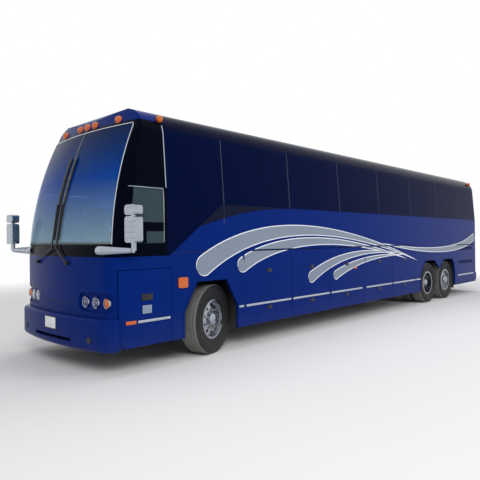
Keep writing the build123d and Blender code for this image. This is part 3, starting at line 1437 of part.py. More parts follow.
BARREL_R = SEAT_R - RIM_WALL
WELL_BACK_R = WELL_R - RIM_WALL
SINGLE_RIM = (
    (RIM_LIP_R, RIM_HALF),
    (SEAT_R, RIM_HALF - RIM_WALL),
    (SEAT_R, RIM_SEAT_HALF),
    (WELL_R, RIM_WELL_HALF),
    (WELL_R, -RIM_WELL_HALF),
    (SEAT_R, -RIM_SEAT_HALF),
    (SEAT_R, RIM_WALL - RIM_HALF),
    (RIM_LIP_R, -RIM_HALF),
    (BARREL_R, -RIM_HALF),
    (BARREL_R, -RIM_SEAT_HALF - RIM_WALL),
    (WELL_BACK_R, -RIM_WELL_HALF - RIM_WALL),
    (WELL_BACK_R, DISC_EDGE_OUT - DISC_THICK),
    (DISC_FLAT_R, DISC_FACE_OUT - DISC_THICK),
    (HUB_R, DISC_FACE_OUT - DISC_THICK),
    (HUB_R, -HUB_BACK),
    (BORE_R, -HUB_BACK),
    (BORE_R, SPINDLE_OUT + SPINDLE_GAP),
    (0.0, SPINDLE_OUT + SPINDLE_GAP),
    (0.0, CAP_OUT),
    (CAP_R, CAP_OUT),
    (HUB_R, DISC_FACE_OUT),
    (DISC_FLAT_R, DISC_FACE_OUT),
    (BARREL_R, DISC_EDGE_OUT),
    (BARREL_R, RIM_HALF),
)


def hand_holes(axle_x, side, start_y, end_y):
    """Ring of round hand holes through a wheel's disc, in the open part."""
    for index in range(HAND_HOLES):
        turn = 2 * pi * (index + 0.5) / HAND_HOLES
        x = axle_x + HAND_HOLE_CIRCLE * cos(turn)
        z = AXLE_Z + HAND_HOLE_CIRCLE * sin(turn)
        rod((x, side * start_y, z), (x, side * end_y, z), HAND_HOLE_R, Mode.SUBTRACT)


def tyre(axle_x, side, middle_y):
    """Tyre seated on its rim."""
    half = TYRE_WIDTH / 2
    tread = TREAD_WIDTH / 2
    bulge_r = (RIM_LIP_R + TYRE_R) / 2
    outer_half = (
        (SEAT_R + RUNNING, RIM_HALF - RIM_WALL - RUNNING),
        (RIM_LIP_R + RUNNING, RIM_HALF - RUNNING),
        (RIM_LIP_R + BEAD_RISE, RIM_HALF + BEAD_BULGE),
        (bulge_r, half),
        (TYRE_R - SHOULDER_DROP, half - TREAD_EDGE / 2),
        (TYRE_R - TREAD_EDGE, tread + TREAD_EDGE / 2),
        (TYRE_R, tread),
    )
    inner_half = [(radius, -out) for radius, out in reversed(outer_half)]
    return turned(list(outer_half) + inner_half, axle_x, side, middle_y)


for side, side_name in ((LEFT, "left"), (RIGHT, "right")):
    for axle_x, axle_name in ((FRONT_AXLE_X, "front"), (TAG_AXLE_X, "tag")):
        with BuildPart() as wheel:
            add(turned(SINGLE_RIM, axle_x, side, WHEEL_Y))
            hand_holes(axle_x, side, WHEEL_Y, WHEEL_Y + RIM_HALF)
        with BuildPart() as single_tyre:
            add(tyre(axle_x, side, WHEEL_Y))
        if axle_x == FRONT_AXLE_X:
            wheel = steered(wheel.part, side)
            single_tyre = steered(single_tyre.part, side)
        save(wheel, f"{axle_name}_wheel_{side_name}")
        save(single_tyre, f"{axle_name}_tyre_{side_name}")

# Twin wheels: two rims bolted back to back on one hub
TWIN_IN = TWIN_HALF - RIM_HALF
TWIN_OUT = TWIN_HALF + RIM_HALF
DISC_ROOT_R = WELL_BACK_R - RIM_WALL
TWIN_RIM = (
    (RIM_LIP_R, TWIN_OUT),
    (SEAT_R, TWIN_OUT - RIM_WALL),
    (SEAT_R, TWIN_IN + RIM_WALL),
    (RIM_LIP_R, TWIN_IN),
    (SEAT_R, TWIN_IN - RIM_WALL),
    (WELL_R, TWIN_DISC_HALF),
    (WELL_R, -TWIN_DISC_HALF),
    (SEAT_R, RIM_WALL - TWIN_IN),
    (RIM_LIP_R, -TWIN_IN),
    (SEAT_R, -TWIN_IN - RIM_WALL),
    (SEAT_R, RIM_WALL - TWIN_OUT),
    (RIM_LIP_R, -TWIN_OUT),
    (BARREL_R, -TWIN_OUT),
    (BARREL_R, RIM_SEAT_HALF - TWIN_HALF),
    (WELL_BACK_R, -TWIN_DISC_HALF - RIM_WALL),
    (DISC_ROOT_R, -TWIN_DISC_HALF),
    (BORE_R, -TWIN_DISC_HALF),
    (BORE_R, TWIN_HALF + SPINDLE_GAP),
    (0.0, TWIN_HALF + SPINDLE_GAP),
    (0.0, TWIN_HALF + TWIN_HUB_OUT),
    (TWIN_CAP_R, TWIN_HALF + TWIN_HUB_OUT),
    (HUB_R, TWIN_HALF + TWIN_HUB_OUT - RIM_WALL),
    (HUB_R, TWIN_HUB_OUT),
    (DISC_FLAT_R, TWIN_HUB_OUT),
    (DISC_FLAT_R, TWIN_DISC_HALF),
    (DISC_ROOT_R, TWIN_DISC_HALF),
    (WELL_BACK_R, TWIN_DISC_HALF + RIM_WALL),
    (BARREL_R, TWIN_HALF - RIM_SEAT_HALF),
    (BARREL_R, TWIN_OUT),
)
for side, side_name in ((LEFT, "left"), (RIGHT, "right")):
    with BuildPart() as twin_wheel:
        add(turned(TWIN_RIM, DRIVE_AXLE_X, side, TWIN_MIDDLE_Y))
        disc_y = (TWIN_MIDDLE_Y - 2 * TWIN_DISC_HALF, TWIN_MIDDLE_Y + 2 * TWIN_DISC_HALF)
        hand_holes(DRIVE_AXLE_X, side, *disc_y)
    save(twin_wheel, f"drive_wheel_{side_name}")
    with BuildPart() as twin_tyres:
        for middle_y in (WHEEL_Y, WHEEL_Y - TWIN_SPACING):
            add(tyre(DRIVE_AXLE_X, side, middle_y))
    save(twin_tyres, f"drive_tyres_{side_name}")
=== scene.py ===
import json
from math import cos, pi, radians, sin, sqrt

import bmesh
import bpy
from mathutils import Matrix, Vector
from mathutils.bvhtree import BVHTree


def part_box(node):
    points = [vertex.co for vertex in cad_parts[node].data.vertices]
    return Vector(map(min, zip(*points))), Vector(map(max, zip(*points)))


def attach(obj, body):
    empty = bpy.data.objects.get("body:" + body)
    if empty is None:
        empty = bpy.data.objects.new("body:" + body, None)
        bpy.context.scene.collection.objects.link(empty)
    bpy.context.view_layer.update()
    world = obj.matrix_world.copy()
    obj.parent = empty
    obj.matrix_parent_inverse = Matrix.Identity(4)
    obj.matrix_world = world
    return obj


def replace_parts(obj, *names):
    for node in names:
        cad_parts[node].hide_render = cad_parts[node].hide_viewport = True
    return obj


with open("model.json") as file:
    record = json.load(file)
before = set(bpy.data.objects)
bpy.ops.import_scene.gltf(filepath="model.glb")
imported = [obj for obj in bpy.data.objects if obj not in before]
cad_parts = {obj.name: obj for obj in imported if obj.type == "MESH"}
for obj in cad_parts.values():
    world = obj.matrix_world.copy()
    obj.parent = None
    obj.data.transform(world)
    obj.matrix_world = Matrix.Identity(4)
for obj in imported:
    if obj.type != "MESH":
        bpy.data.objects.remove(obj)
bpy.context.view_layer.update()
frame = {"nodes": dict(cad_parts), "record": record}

# Coach bus: paint, glass, stripes, trim, lamps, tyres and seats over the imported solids.
# Metres, +X forward, +Y to the driver's side, +Z up.

record = frame["record"]
nodes = frame["nodes"]
joints = {row["name"]: row for row in record["behaviour"]["joints"]}
slot_of = {row["node"]: row["material_slot"] for row in record["subparts"]}

# Places read from the frame
LEFT = 1
RIGHT = -1
SIDES = ((LEFT, "left"), (RIGHT, "right"))
FORWARD = Vector((1, 0, 0))
ACROSS = Vector((0, 1, 0))
UP = Vector((0, 0, 1))
SIDE_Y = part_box("left_side_wall")[1][1]
BELT_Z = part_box("left_side_wall")[1][2]
FACE_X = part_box("front_mask")[1][0]
NOSE_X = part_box("front_bumper")[1][0]
TAIL_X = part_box("rear_wall")[0][0]
FRONT_AXLE_X = joints["steer_left"]["pos_m"][0]
DRIVE_AXLE_X = joints["drive_left_roll"]["pos_m"][0]
TAG_AXLE_X = joints["tag_left_roll"]["pos_m"][0]

# Plan of the front and the windshield's outline
FACE_R = 6.0
CORNER_R = 0.28
SCREEN_Z = (1.690, 3.335)
SCREEN_HALF = (1.186, 1.100)

# Top of the dark cove over the side glass, and the driver's window (ahead of the axle, z)
COVE_TOP_Z = 3.640
DRIVER_PANE_X = (0.92, 1.50)
DRIVER_PANE_Z = (1.70, 2.45)
DRIVER_SASH_Z = (1.86, 1.98)

# Camera
CAMERA_AT = Vector((FRONT_AXLE_X + 5.125, 6.698, 1.73))
CAMERA_YAW = radians(223.41)
CAMERA_PITCH = radians(0.14)
CAMERA_ROLL = radians(-0.6)
PHOTO_PIXELS = 480
FOCAL_PIXELS = 493.6
MIDDLE_PIXEL_Y = 238.7
SENSOR = 36.0


def ahead(distance):
    """X of a place given as its distance ahead of the front axle."""
    return FRONT_AXLE_X + distance


def paint(red, green, blue):
    """Scene colour of an 8-bit screen colour."""
    channels = []
    for level in (red, green, blue):
        share = level / 255
        channels.append(share / 12.92 if share <= 0.04045 else ((share + 0.055) / 1.055) ** 2.4)
    return (*channels, 1.0)


# Shader node helpers


def feed(tree, socket, value):
    """Link a socket to another node's output, or give it a plain value."""
    if isinstance(value, bpy.types.NodeSocket):
        tree.links.new(value, socket)
    else:
        socket.default_value = value


def put(tree, kind, inputs=None, **settings):
    """New node with its settings and its input values or links."""
    made = tree.nodes.new(kind)
    for name, value in settings.items():
        setattr(made, name, value)
    for name, value in (inputs or {}).items():
        feed(tree, made.inputs[name], value)
    return made


def math_node(tree, operation, first, second):
    """Result of a two-value math node."""
    made = put(tree, "ShaderNodeMath", {0: first, 1: second}, operation=operation)
    return made.outputs[0]


def new_group(name, inputs, outputs):
    """Empty shader node group with named sockets: (tree, its inputs, its output node)."""
    tree = bpy.data.node_groups.new(name, "ShaderNodeTree")
    for socket_name, kind, value in inputs:
        socket = tree.interface.new_socket(name=socket_name, in_out="INPUT", socket_type=kind)
        socket.default_value = value
    for socket_name, kind in outputs:
        tree.interface.new_socket(name=socket_name, in_out="OUTPUT", socket_type=kind)
    source = tree.nodes.new("NodeGroupInput")
    sink = tree.nodes.new("NodeGroupOutput")
    return tree, source.outputs, sink


def mix_colours(tree, share, first, second):
    """Colour between two colours."""
    mixed = put(tree, "ShaderNodeMix", {"Factor": share}, data_type="RGBA")
    ends = [socket for socket in mixed.inputs if socket.type == "RGBA"]
    for socket, value in zip(ends, (first, second)):
        feed(tree, socket, value)
    return [socket for socket in mixed.outputs if socket.type == "RGBA"][0]


def place_on_object(tree):
    """X, Y and Z of the shaded place, as sockets."""
    place = put(tree, "ShaderNodeTexCoord").outputs["Object"]
    return put(tree, "ShaderNodeSeparateXYZ", {"Vector": place}).outputs


def height_share(tree, low, high):
    """0 to 1 between two heights on the object."""
    reach = {"Value": place_on_object(tree)["Z"], "From Min": low, "From Max": high}
    return put(tree, "ShaderNodeMapRange", reach).outputs["Result"]


FLOAT = "NodeSocketFloat"
COLOUR = "NodeSocketColor"


def soft_patches_group():
    """Two close colours in soft uneven patches."""
    tree, given, sink = new_group(
        "soft_patches",
        (("Colour", COLOUR, (1, 1, 1, 1)), ("Second", COLOUR, (1, 1, 1, 1)), ("Scale", FLOAT, 1.0)),
        (("Colour", COLOUR), ("Mask", FLOAT)),
    )
    place = put(tree, "ShaderNodeTexCoord").outputs["Object"]
    cloud = put(
        tree, "ShaderNodeTexNoise", {"Vector": place, "Scale": given["Scale"], "Detail": 4.0}
    ).outputs["Fac"]
    result = mix_colours(tree, cloud, given["Colour"], given["Second"])
    tree.links.new(result, sink.inputs["Colour"])
    tree.links.new(cloud, sink.inputs["Mask"])
    return tree


def road_film_group():
    """Thin film of road dust, thickest near the ground and broken up by noise."""
    tree, given, sink = new_group(
        "road_film",
        (
            ("Colour", COLOUR, (1, 1, 1, 1)),
            ("Film", COLOUR, (0.25, 0.22, 0.19, 1)),
            ("Amount", FLOAT, 0.3),
            ("Roughness", FLOAT, 0.3),
            ("Top", FLOAT, 1.0),
        ),
        (("Colour", COLOUR), ("Roughness", FLOAT)),
    )
    place = put(tree, "ShaderNodeTexCoord").outputs["Object"]
    height = put(tree, "ShaderNodeSeparateXYZ", {"Vector": place}).outputs["Z"]
    fall = put(
        tree,
        "ShaderNodeMapRange",
        {"Value": height, "From Min": 0.0, "From Max": given["Top"], "To Min": 1.0, "To Max": 0.0},
        interpolation_type="SMOOTHSTEP",
    ).outputs["Result"]
    cloud = put(
        tree, "ShaderNodeTexNoise", {"Vector": place, "Scale": 3.5, "Detail": 6.0, "Roughness": 0.7}
    ).outputs["Fac"]
    amount = math_node(tree, "MULTIPLY", math_node(tree, "MULTIPLY", fall, cloud), given["Amount"])
    result = mix_colours(tree, amount, given["Colour"], given["Film"])
    tree.links.new(result, sink.inputs["Colour"])
    rough = math_node(tree, "ADD", given["Roughness"], math_node(tree, "MULTIPLY", amount, 0.5))
    tree.links.new(rough, sink.inputs["Roughness"])
    return tree


def fine_relief_group():
    """Fine uneven relief, stretched along X where the finish is drawn or brushed."""
    tree, given, sink = new_group(
        "fine_relief",
        (("Scale", FLOAT, 100.0), ("Stretch", FLOAT, 1.0), ("Detail", FLOAT, 3.0)),
        (("Height", FLOAT),),
    )
    split = place_on_object(tree)
    along = math_node(tree, "DIVIDE", split["X"], given["Stretch"])
    joined = put(tree, "ShaderNodeCombineXYZ", {"X": along, "Y": split["Y"], "Z": split["Z"]})
    noise = put(
        tree,
        "ShaderNodeTexNoise",
        {"Vector": joined.outputs["Vector"], "Scale": given["Scale"], "Detail": given["Detail"]},
    )
    tree.links.new(noise.outputs["Fac"], sink.inputs["Height"])
    return tree


BUMP_STRENGTH = 0.4
SOFT_PATCHES = soft_patches_group()
ROAD_FILM = road_film_group()
FINE_RELIEF = fine_relief_group()


def use_group(tree, group, **values):
    """A shared effect placed in a material with its own values."""
    made = tree.nodes.new("ShaderNodeGroup")
    made.node_tree = group
    for name, value in values.items():
        feed(tree, made.inputs[name], value)
    return made.outputs


def bare_material(name):
    """Material with an empty Principled surface: (material, its tree, the shader)."""
    material = bpy.data.materials.new(name)
    material.use_nodes = True
    tree = material.node_tree
    tree.nodes.clear()
    shader = tree.nodes.new("ShaderNodeBsdfPrincipled")
    sink = tree.nodes.new("ShaderNodeOutputMaterial")
    tree.links.new(shader.outputs["BSDF"], sink.inputs["Surface"])
    return material, tree, shader


def set_plain(shader, **plain):
    """Values that are the same all over, on the shader's own sockets."""
    for socket, value in plain.items():
        shader.inputs[socket.replace("_", " ")].default_value = value


def relief(tree, shader, scale, depth, stretch=1.0):
    """Fine bump on a shader."""
    height = use_group(tree, FINE_RELIEF, Scale=scale, Stretch=stretch)["Height"]
    bump = put(tree, "ShaderNodeBump", {"Height": height, "Strength": BUMP_STRENGTH, "Distance": depth})
    tree.links.new(bump.outputs["Normal"], shader.inputs["Normal"])


def opaque(name, colour, second, roughness, patch=2.0, film=0.0, film_top=1.0, grain=None, **plain):
    """Opaque finish: soft patches of two colours, road film low down and fine relief.

    grain is (scale, depth, stretch); plain holds values for the shader's own sockets.
    """
    material, tree, shader = bare_material(name)
    colours = use_group(tree, SOFT_PATCHES, Colour=colour, Second=second, Scale=patch)["Colour"]
    dusty = use_group(
        tree, ROAD_FILM, Colour=colours, Amount=film, Roughness=roughness, Top=film_top
    )
    tree.links.new(dusty["Colour"], shader.inputs["Base Color"])
    tree.links.new(dusty["Roughness"], shader.inputs["Roughness"])
    set_plain(shader, **plain)
    if grain:
        relief(tree, shader, *grain)
    return material


def clear(name, colour, second, roughness, patch=1.0, **plain):
    """See-through finish with a slight variation of its tint."""
    material, tree, shader = bare_material(name)
    tint = use_group(tree, SOFT_PATCHES, Colour=colour, Second=second, Scale=patch)["Colour"]
    tree.links.new(tint, shader.inputs["Base Color"])
    set_plain(shader, Roughness=roughness, Transmission_Weight=1.0, **plain)
    return material


# Finishes: a low index and a blue glint keep the dark paint deep in white surroundings

PAINT_IOR = 1.12
BLUE_GLINT = paint(96, 138, 232)
COVE_EDGE = 0.006

coach_blue = opaque(
    "coach_blue_paint",
    paint(6, 34, 112),
    paint(9, 38, 106),
    0.22,
    patch=0.6,
    film=0.10,
    film_top=0.9,
    grain=(2.2, 0.003, 3.0),
    IOR=PAINT_IOR,
    Specular_Tint=BLUE_GLINT,
)
gloss_black = opaque(
    "gloss_black_band",
    paint(4, 6, 14),
    paint(6, 9, 20),
    0.12,
    IOR=PAINT_IOR,
    Specular_Tint=paint(88, 126, 206),
)


def roof_finish():
    """Blue roof whose coves above the side glass are as dark as the glass."""
    material, tree, shader = bare_material("roof_paint")
    colours = use_group(
        tree, SOFT_PATCHES, Colour=paint(8, 36, 108), Second=paint(11, 40, 102), Scale=0.5
    )["Colour"]
    share = height_share(tree, COVE_TOP_Z, COVE_TOP_Z + COVE_EDGE)
    colour = mix_colours(tree, share, paint(4, 10, 36), colours)
    tree.links.new(colour, shader.inputs["Base Color"])
    relief(tree, shader, 1.6, 0.003, 2.0)
    set_plain(shader, Roughness=0.2, IOR=PAINT_IOR, Specular_Tint=BLUE_GLINT)
    return material


roof_blue = roof_finish()
silver_film = opaque(
    "silver_stripe_film",
    paint(132, 143, 158),
    paint(122, 134, 151),
    0.36,
    patch=1.2,
    grain=(900.0, 0.0002, 1.0),
    Metallic=0.2,
    Specular_IOR_Level=0.2,
)
white_film = opaque("white_stripe_film", paint(232, 236, 243), paint(222, 228, 238), 0.3, patch=1.5)
dark_film = opaque("dark_sweep_film", paint(14, 19, 40), paint(19, 24, 46), 0.2, IOR=PAINT_IOR)
bright_trim = opaque(
    "bright_trim_alloy",
    paint(196, 204, 214),
    paint(178, 186, 198),
    0.22,
    patch=6.0,
    film=0.1,
    grain=(160.0, 0.0003, 40.0),
    Metallic=1.0,
)
chrome = opaque(
    "mirror_chrome", paint(176, 182, 192), paint(150, 158, 170), 0.1, patch=14.0, Metallic=1.0
)
wheel_alloy = opaque(
    "polished_wheel_alloy",
    paint(178, 182, 188),
    paint(160, 165, 172),
    0.2,
    patch=9.0,
    film=0.25,
    film_top=0.9,
    grain=(220.0, 0.0003, 1.0),
    Metallic=1.0,
)
nut_steel = opaque(
    "wheel_nut_steel", paint(176, 178, 182), paint(150, 152, 156), 0.28, patch=20.0, Metallic=1.0
)
tyre_rubber = opaque(
    "tyre_rubber",
    paint(24, 25, 28),
    paint(32, 33, 35),
    0.62,
    patch=7.0,
    film=0.15,
    film_top=0.9,
    grain=(320.0, 0.0006, 1.0),
    Specular_IOR_Level=0.22,
)
# Tread: the black rubber painted light grey as painted sunlight, with a film of road dust over it
tread_rubber_painted_light = opaque(
    "tread_dusty_rubber",
    paint(124, 124, 120),
    paint(104, 104, 101),
    0.75,
    patch=9.0,
    film=0.15,
    film_top=0.9,
    grain=(320.0, 0.0006, 1.0),
    Specular_IOR_Level=0.35,
)
black_plastic = opaque(
    "black_moulded_plastic",
    paint(18, 18, 20),
    paint(26, 26, 28),
    0.45,
    patch=8.0,
    grain=(500.0, 0.0004, 1.0),
)
divider_alloy = opaque(
    "divider_alloy", paint(112, 120, 138), paint(98, 106, 124), 0.3, patch=6.0, Metallic=1.0
)
seal_grey = opaque("pane_seal_grey", paint(48, 56, 74), paint(58, 66, 84), 0.5, patch=10.0)
mirror_glass = opaque(
    "mirror_glass", paint(196, 204, 212), paint(188, 198, 208), 0.02, patch=4.0, Metallic=1.0
)
seal_rubber = opaque("seal_rubber", paint(12, 12, 13), paint(20, 20, 21), 0.6, patch=10.0)
chassis_black = opaque(
    "chassis_black_paint",
    paint(22, 22, 24),
    paint(34, 33, 32),
    0.55,
    patch=3.0,
    film=0.5,
    film_top=1.4,
    grain=(60.0, 0.001, 1.0),
)
hatch_plastic = opaque(
    "hatch_plastic",
    paint(200, 203, 207),
    paint(186, 190, 195),
    0.42,
    patch=4.0,
    grain=(300.0, 0.0004, 1.0),
)
floor_cover = opaque(
    "ribbed_floor_cover",
    paint(58, 60, 64),
    paint(72, 74, 78),
    0.7,
    patch=5.0,
    grain=(140.0, 0.001, 30.0),
)
dash_grain = opaque(
    "dash_grained_plastic",
    paint(52, 54, 60),
    paint(62, 64, 70),
    0.55,
    patch=6.0,
    grain=(420.0, 0.0008, 1.0),
)
seat_cloth = opaque(
    "seat_weave_cloth",
    paint(40, 52, 96),
    paint(62, 70, 108),
    0.85,
    patch=40.0,
    grain=(700.0, 0.0012, 1.0),
    Sheen_Weight=0.3,
)
cover_cloth = opaque(
    "headrest_cover_cloth",
    paint(206, 210, 216),
    paint(194, 199, 207),
    0.85,
    patch=30.0,
    grain=(700.0, 0.001, 1.0),
)
engine_iron = opaque(
    "engine_cast_iron",
    paint(88, 90, 94),
    paint(70, 70, 72),
    0.6,
    patch=6.0,
    grain=(120.0, 0.002, 1.0),
    Metallic=0.6,
)
plate_white = opaque("blank_plate_white", paint(236, 238, 240), paint(226, 229, 232), 0.35, patch=8.0)
reflector_silver = opaque(
    "lamp_reflector_silver", paint(226, 230, 236), paint(212, 218, 226), 0.14, patch=20.0, Metallic=0.35
)
pale_lens = opaque(
    "pale_ribbed_lens",
    paint(132, 146, 166),
    paint(116, 132, 156),
    0.12,
    patch=22.0,
    grain=(260.0, 0.0008, 6.0),
)
lamp_lens = clear("clear_lamp_lens", paint(244, 248, 252), paint(236, 242, 248), 0.04, IOR=1.45)
amber_lens = opaque(
    "amber_lens",
    paint(206, 98, 16),
    paint(188, 82, 12),
    0.16,
    patch=30.0,
    grain=(240.0, 0.0008, 1.0),
    Coat_Weight=0.2,
)
red_lens = opaque(
    "red_lens",
    paint(168, 16, 14),
    paint(146, 10, 10),
    0.16,
    patch=30.0,
    grain=(240.0, 0.0008, 1.0),
    Coat_Weight=0.6,
)


# Share of the windshield's height where its shade band begins
SHADE_BAND_FROM = 0.55


def windshield_finish():
    """Blue-tinted windshield glass with a darker shade band along its top, and pale towards its foot as
    a painted reflection.
    """
    material, tree, shader = bare_material("windshield_glass")
    ramp = put(tree, "ShaderNodeValToRGB", {"Fac": height_share(tree, *SCREEN_Z)})
    stops = ramp.color_ramp.elements
    # The pale foot of the ramp is a painted reflection; the navy top is the glass's own tint band
    stops[0].color = paint(198, 230, 244)
    stops[1].color = paint(24, 58, 118)
    shade = stops.new(SHADE_BAND_FROM)
    shade.color = paint(22, 110, 214)
    tree.links.new(ramp.outputs["Color"], shader.inputs["Base Color"])
    set_plain(
        shader, Roughness=0.0, IOR=1.1, Transmission_Weight=0.72, Specular_Tint=paint(130, 185, 255)
    )
    return material


def side_glass_finish():
    """Deep tint on the side panes, clear glass in the driver's window."""
    material, tree, shader = bare_material("tinted_side_glass")
    tint = use_group(
        tree, SOFT_PATCHES, Colour=paint(14, 30, 82), Second=paint(10, 24, 70), Scale=0.4
    )["Colour"]
    split = place_on_object(tree)
    forward = math_node(tree, "GREATER_THAN", split["X"], ahead(DRIVER_PANE_X[0]) - 0.02)
    left = math_node(tree, "GREATER_THAN", split["Y"], 0.0)
    share = math_node(tree, "MULTIPLY", forward, left)
    colour = mix_colours(tree, share, tint, paint(84, 104, 112))
    tree.links.new(colour, shader.inputs["Base Color"])
    set_plain(
        shader, Roughness=0.0, IOR=1.08, Transmission_Weight=0.6, Specular_Tint=paint(92, 132, 214)
    )
    return material


screen_glass = windshield_finish()
side_glass = side_glass_finish()

SLOT_FINISH = {
    "body_paint": coach_blue,
    "roof_paint": roof_blue,
    "black_band": gloss_black,
    "hatch_plastic": hatch_plastic,
    "windshield_glass": screen_glass,
    "tinted_glass": side_glass,
    "headlamp_lens": lamp_lens,
    "red_lens": red_lens,
    "amber_lens": amber_lens,
    "chrome": chrome,
    "wiper_black": black_plastic,
    "chassis_black": chassis_black,
    "floor_covering": floor_cover,
    "dash_plastic": dash_grain,
    "seat_fabric": seat_cloth,
    "engine_iron": engine_iron,
    "wheel_alloy": wheel_alloy,
    "tyre_rubber": tyre_rubber,
}
for node_name, solid in nodes.items():
    for material_slot in solid.material_slots:
        material_slot.material = SLOT_FINISH[slot_of[node_name]]


# Mesh helpers


def piece(name, mesh_data, finish, body, sharp=35.0):
    """Finish a bmesh as a piece that rides on a body."""
    mesh = bpy.data.meshes.new(name)
    bmesh.ops.recalc_face_normals(mesh_data, faces=mesh_data.faces)
    mesh_data.to_mesh(mesh)
    mesh_data.free()
    mesh.shade_smooth()
    mesh.set_sharp_from_angle(angle=radians(sharp))
    mesh.materials.append(finish)
    made = bpy.data.objects.new(name, mesh)
    bpy.context.scene.collection.objects.link(made)
    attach(made, body)
    return made


def rounded_bar(mesh_data, low, high, radius, steps=2, turn=None):
    """Add a box with rounded edges between two corners, turned about its middle if asked."""
    low, high = Vector(low), Vector(high)
    size = Vector([abs(b - a) for a, b in zip(low, high)])
    place = Matrix.Translation((low + high) / 2)
    if turn is not None:
        place = place @ turn
    made = bmesh.ops.create_cube(mesh_data, size=1.0, matrix=place @ Matrix.Diagonal((*size, 1.0)))
    edges = {edge for corner in made["verts"] for edge in corner.link_edges}
    bmesh.ops.bevel(
        mesh_data,
        geom=list(edges),
        offset=min(radius, min(size) * 0.45),
        segments=steps,
        profile=0.5,
        affect="EDGES",
    )


def join_rings(mesh_data, first, second):
    """Faces between two rings of points, either of which may be one point."""
    count = max(len(first), len(second))
    for step in range(count):
        after = (step + 1) % count
        if len(first) == 1:
            mesh_data.faces.new((first[0], second[step], second[after]))
        elif len(second) == 1:
            mesh_data.faces.new((first[after], first[step], second[0]))
        else:
            mesh_data.faces.new((first[step], second[step], second[after], first[after]))


def join_stack(mesh_data, rings, capped=False):
    """Faces between each ring and the next, with a face over both ends if capped."""
    for first, second in zip(rings, rings[1:]):
        join_rings(mesh_data, first, second)
    if capped:
        mesh_data.faces.new(list(reversed(rings[0])))
        mesh_data.faces.new(rings[-1])


def join_rows(mesh_data, rows):
    """Faces of a sheet between rows of points."""
    faces = []
    for first, second in zip(rows, rows[1:]):
        for index in range(len(first) - 1):
            corners = (first[index], first[index + 1], second[index + 1], second[index])
            faces.append(mesh_data.faces.new(corners))
    return faces


def thicken(mesh_data, faces, move):
    """Give a sheet its thickness: a moved copy of its faces, joined to it by walls."""
    for item in bmesh.ops.extrude_face_region(mesh_data, geom=faces)["geom"]:
        if isinstance(item, bmesh.types.BMVert):
            item.co += Vector(move)


def lathe(mesh_data, profile, centre, axis, turns=48, closed=False, notch=None):
    """Add a turned shape: profile of (radius, distance along the axis).

    notch, if given, is called with (profile index, step) for a change of radius.
    """
    axis = Vector(axis).normalized()
    across = axis.orthogonal().normalized()
    other = axis.cross(across)
    rings = []
    for index, (radius, along) in enumerate(profile):
        middle = Vector(centre) + axis * along
        if radius == 0:
            rings.append([mesh_data.verts.new(middle)])
            continue
        ring = []
        for step in range(turns):
            turn = 2 * pi * step / turns
            reach = radius + (notch(index, step) if notch else 0.0)
            ring.append(mesh_data.verts.new(middle + reach * (cos(turn) * across + sin(turn) * other)))
        rings.append(ring)
    pairs = list(zip(rings, rings[1:]))
    if closed:
        pairs.append((rings[-1], rings[0]))
    for first, second in pairs:
        join_rings(mesh_data, first, second)


def tube(mesh_data, points, radius, sides=8, closed=False, flat=None):
    """Add a round or flattened tube along points; flat is (direction, share) of the squeeze.

    radius is one value, or one for each point.
    """
    points = [Vector(point) for point in points]
    count = len(points)
    radii = radius if isinstance(radius, (list, tuple)) else [radius] * count
    rings = []
    across = None
    for index, point in enumerate(points):
        before = points[index - 1] if index or closed else point
        after = points[(index + 1) % count] if index < count - 1 or closed else point
        along = (after - before).normalized()
        if across is None:
            across = along.orthogonal()
        across = (across - along * across.dot(along)).normalized()
        other = along.cross(across)
        ring = []
        for step in range(sides):
            turn = 2 * pi * step / sides
            offset = radii[index] * (cos(turn) * across + sin(turn) * other)
            if flat:
                direction, share = flat
                offset -= direction * offset.dot(direction) * (1 - share)
            ring.append(mesh_data.verts.new(point + offset))
        rings.append(ring)
    join_stack(mesh_data, rings, capped=not closed)
    if closed:
        join_rings(mesh_data, rings[-1], rings[0])


def hit_tree(names):
    """Ray-casting tree over the solids of some nodes."""
    points, faces = [], []
    for name in names:
        mesh = nodes[name].data
        start = len(points)
        points.extend(vertex.co.copy() for vertex in mesh.vertices)
        faces.extend([start + index for index in face.vertices] for face in mesh.polygons)
    return BVHTree.FromPolygons(points, faces)


FRONT_SKIN = hit_tree(("windshield", "windshield_surround", "front_mask", "front_bumper", "front_cap"))
SIDE_SKIN = hit_tree(
    (
        "left_side_wall",
        "right_side_wall",
        "windshield_surround",
        "windows",
        "service_door",
        "roof",
        "entrance_door",
    )
)
OUTSIDE = 1.0


def on_front(y, z, proud=0.0):
    """Place on the front skin, standing proud along X."""
    point = FRONT_SKIN.ray_cast(Vector((NOSE_X + OUTSIDE, y, z)), -FORWARD)[0]
    return point + proud * FORWARD


def on_side(x, z, side, proud=0.0):
    """Place on the side skin, standing proud along Y."""
    point = SIDE_SKIN.ray_cast(Vector((x, side * (SIDE_Y + OUTSIDE), z)), -side * ACROSS)[0]
    return point + side * proud * ACROSS


def face_plan_x(y):
    """X of the lower front at a distance from the middle plane, round its corners too."""
    centre_y = SIDE_Y - CORNER_R
    centre_x = FACE_X - FACE_R + sqrt((FACE_R - CORNER_R) ** 2 - centre_y**2)
    joint_y = FACE_R * centre_y / (FACE_R - CORNER_R)
    if abs(y) <= joint_y:
        return FACE_X - FACE_R + sqrt(FACE_R**2 - y**2)
    return centre_x + sqrt(max(CORNER_R**2 - (abs(y) - centre_y) ** 2, 0.0))


def span_ahead(distances):
    """X of some places given as distances ahead of the front axle."""
    return [ahead(distance) for distance in distances]


def span(start, end, count):
    """Evenly spaced values from start to end."""
    return [start + (end - start) * step / (count - 1) for step in range(count)]


def bezier(start, first, second, end, share):
    """Point on a cubic curve in the side view."""
    rest = 1 - share
    weights = (rest**3, 3 * rest**2 * share, 3 * rest * share**2, share**3)
    points = (start, first, second, end)
    return tuple(sum(w * p[axis] for w, p in zip(weights, points)) for axis in (0, 1))


# Stripes: films on the flat of each side, cut at the door seams

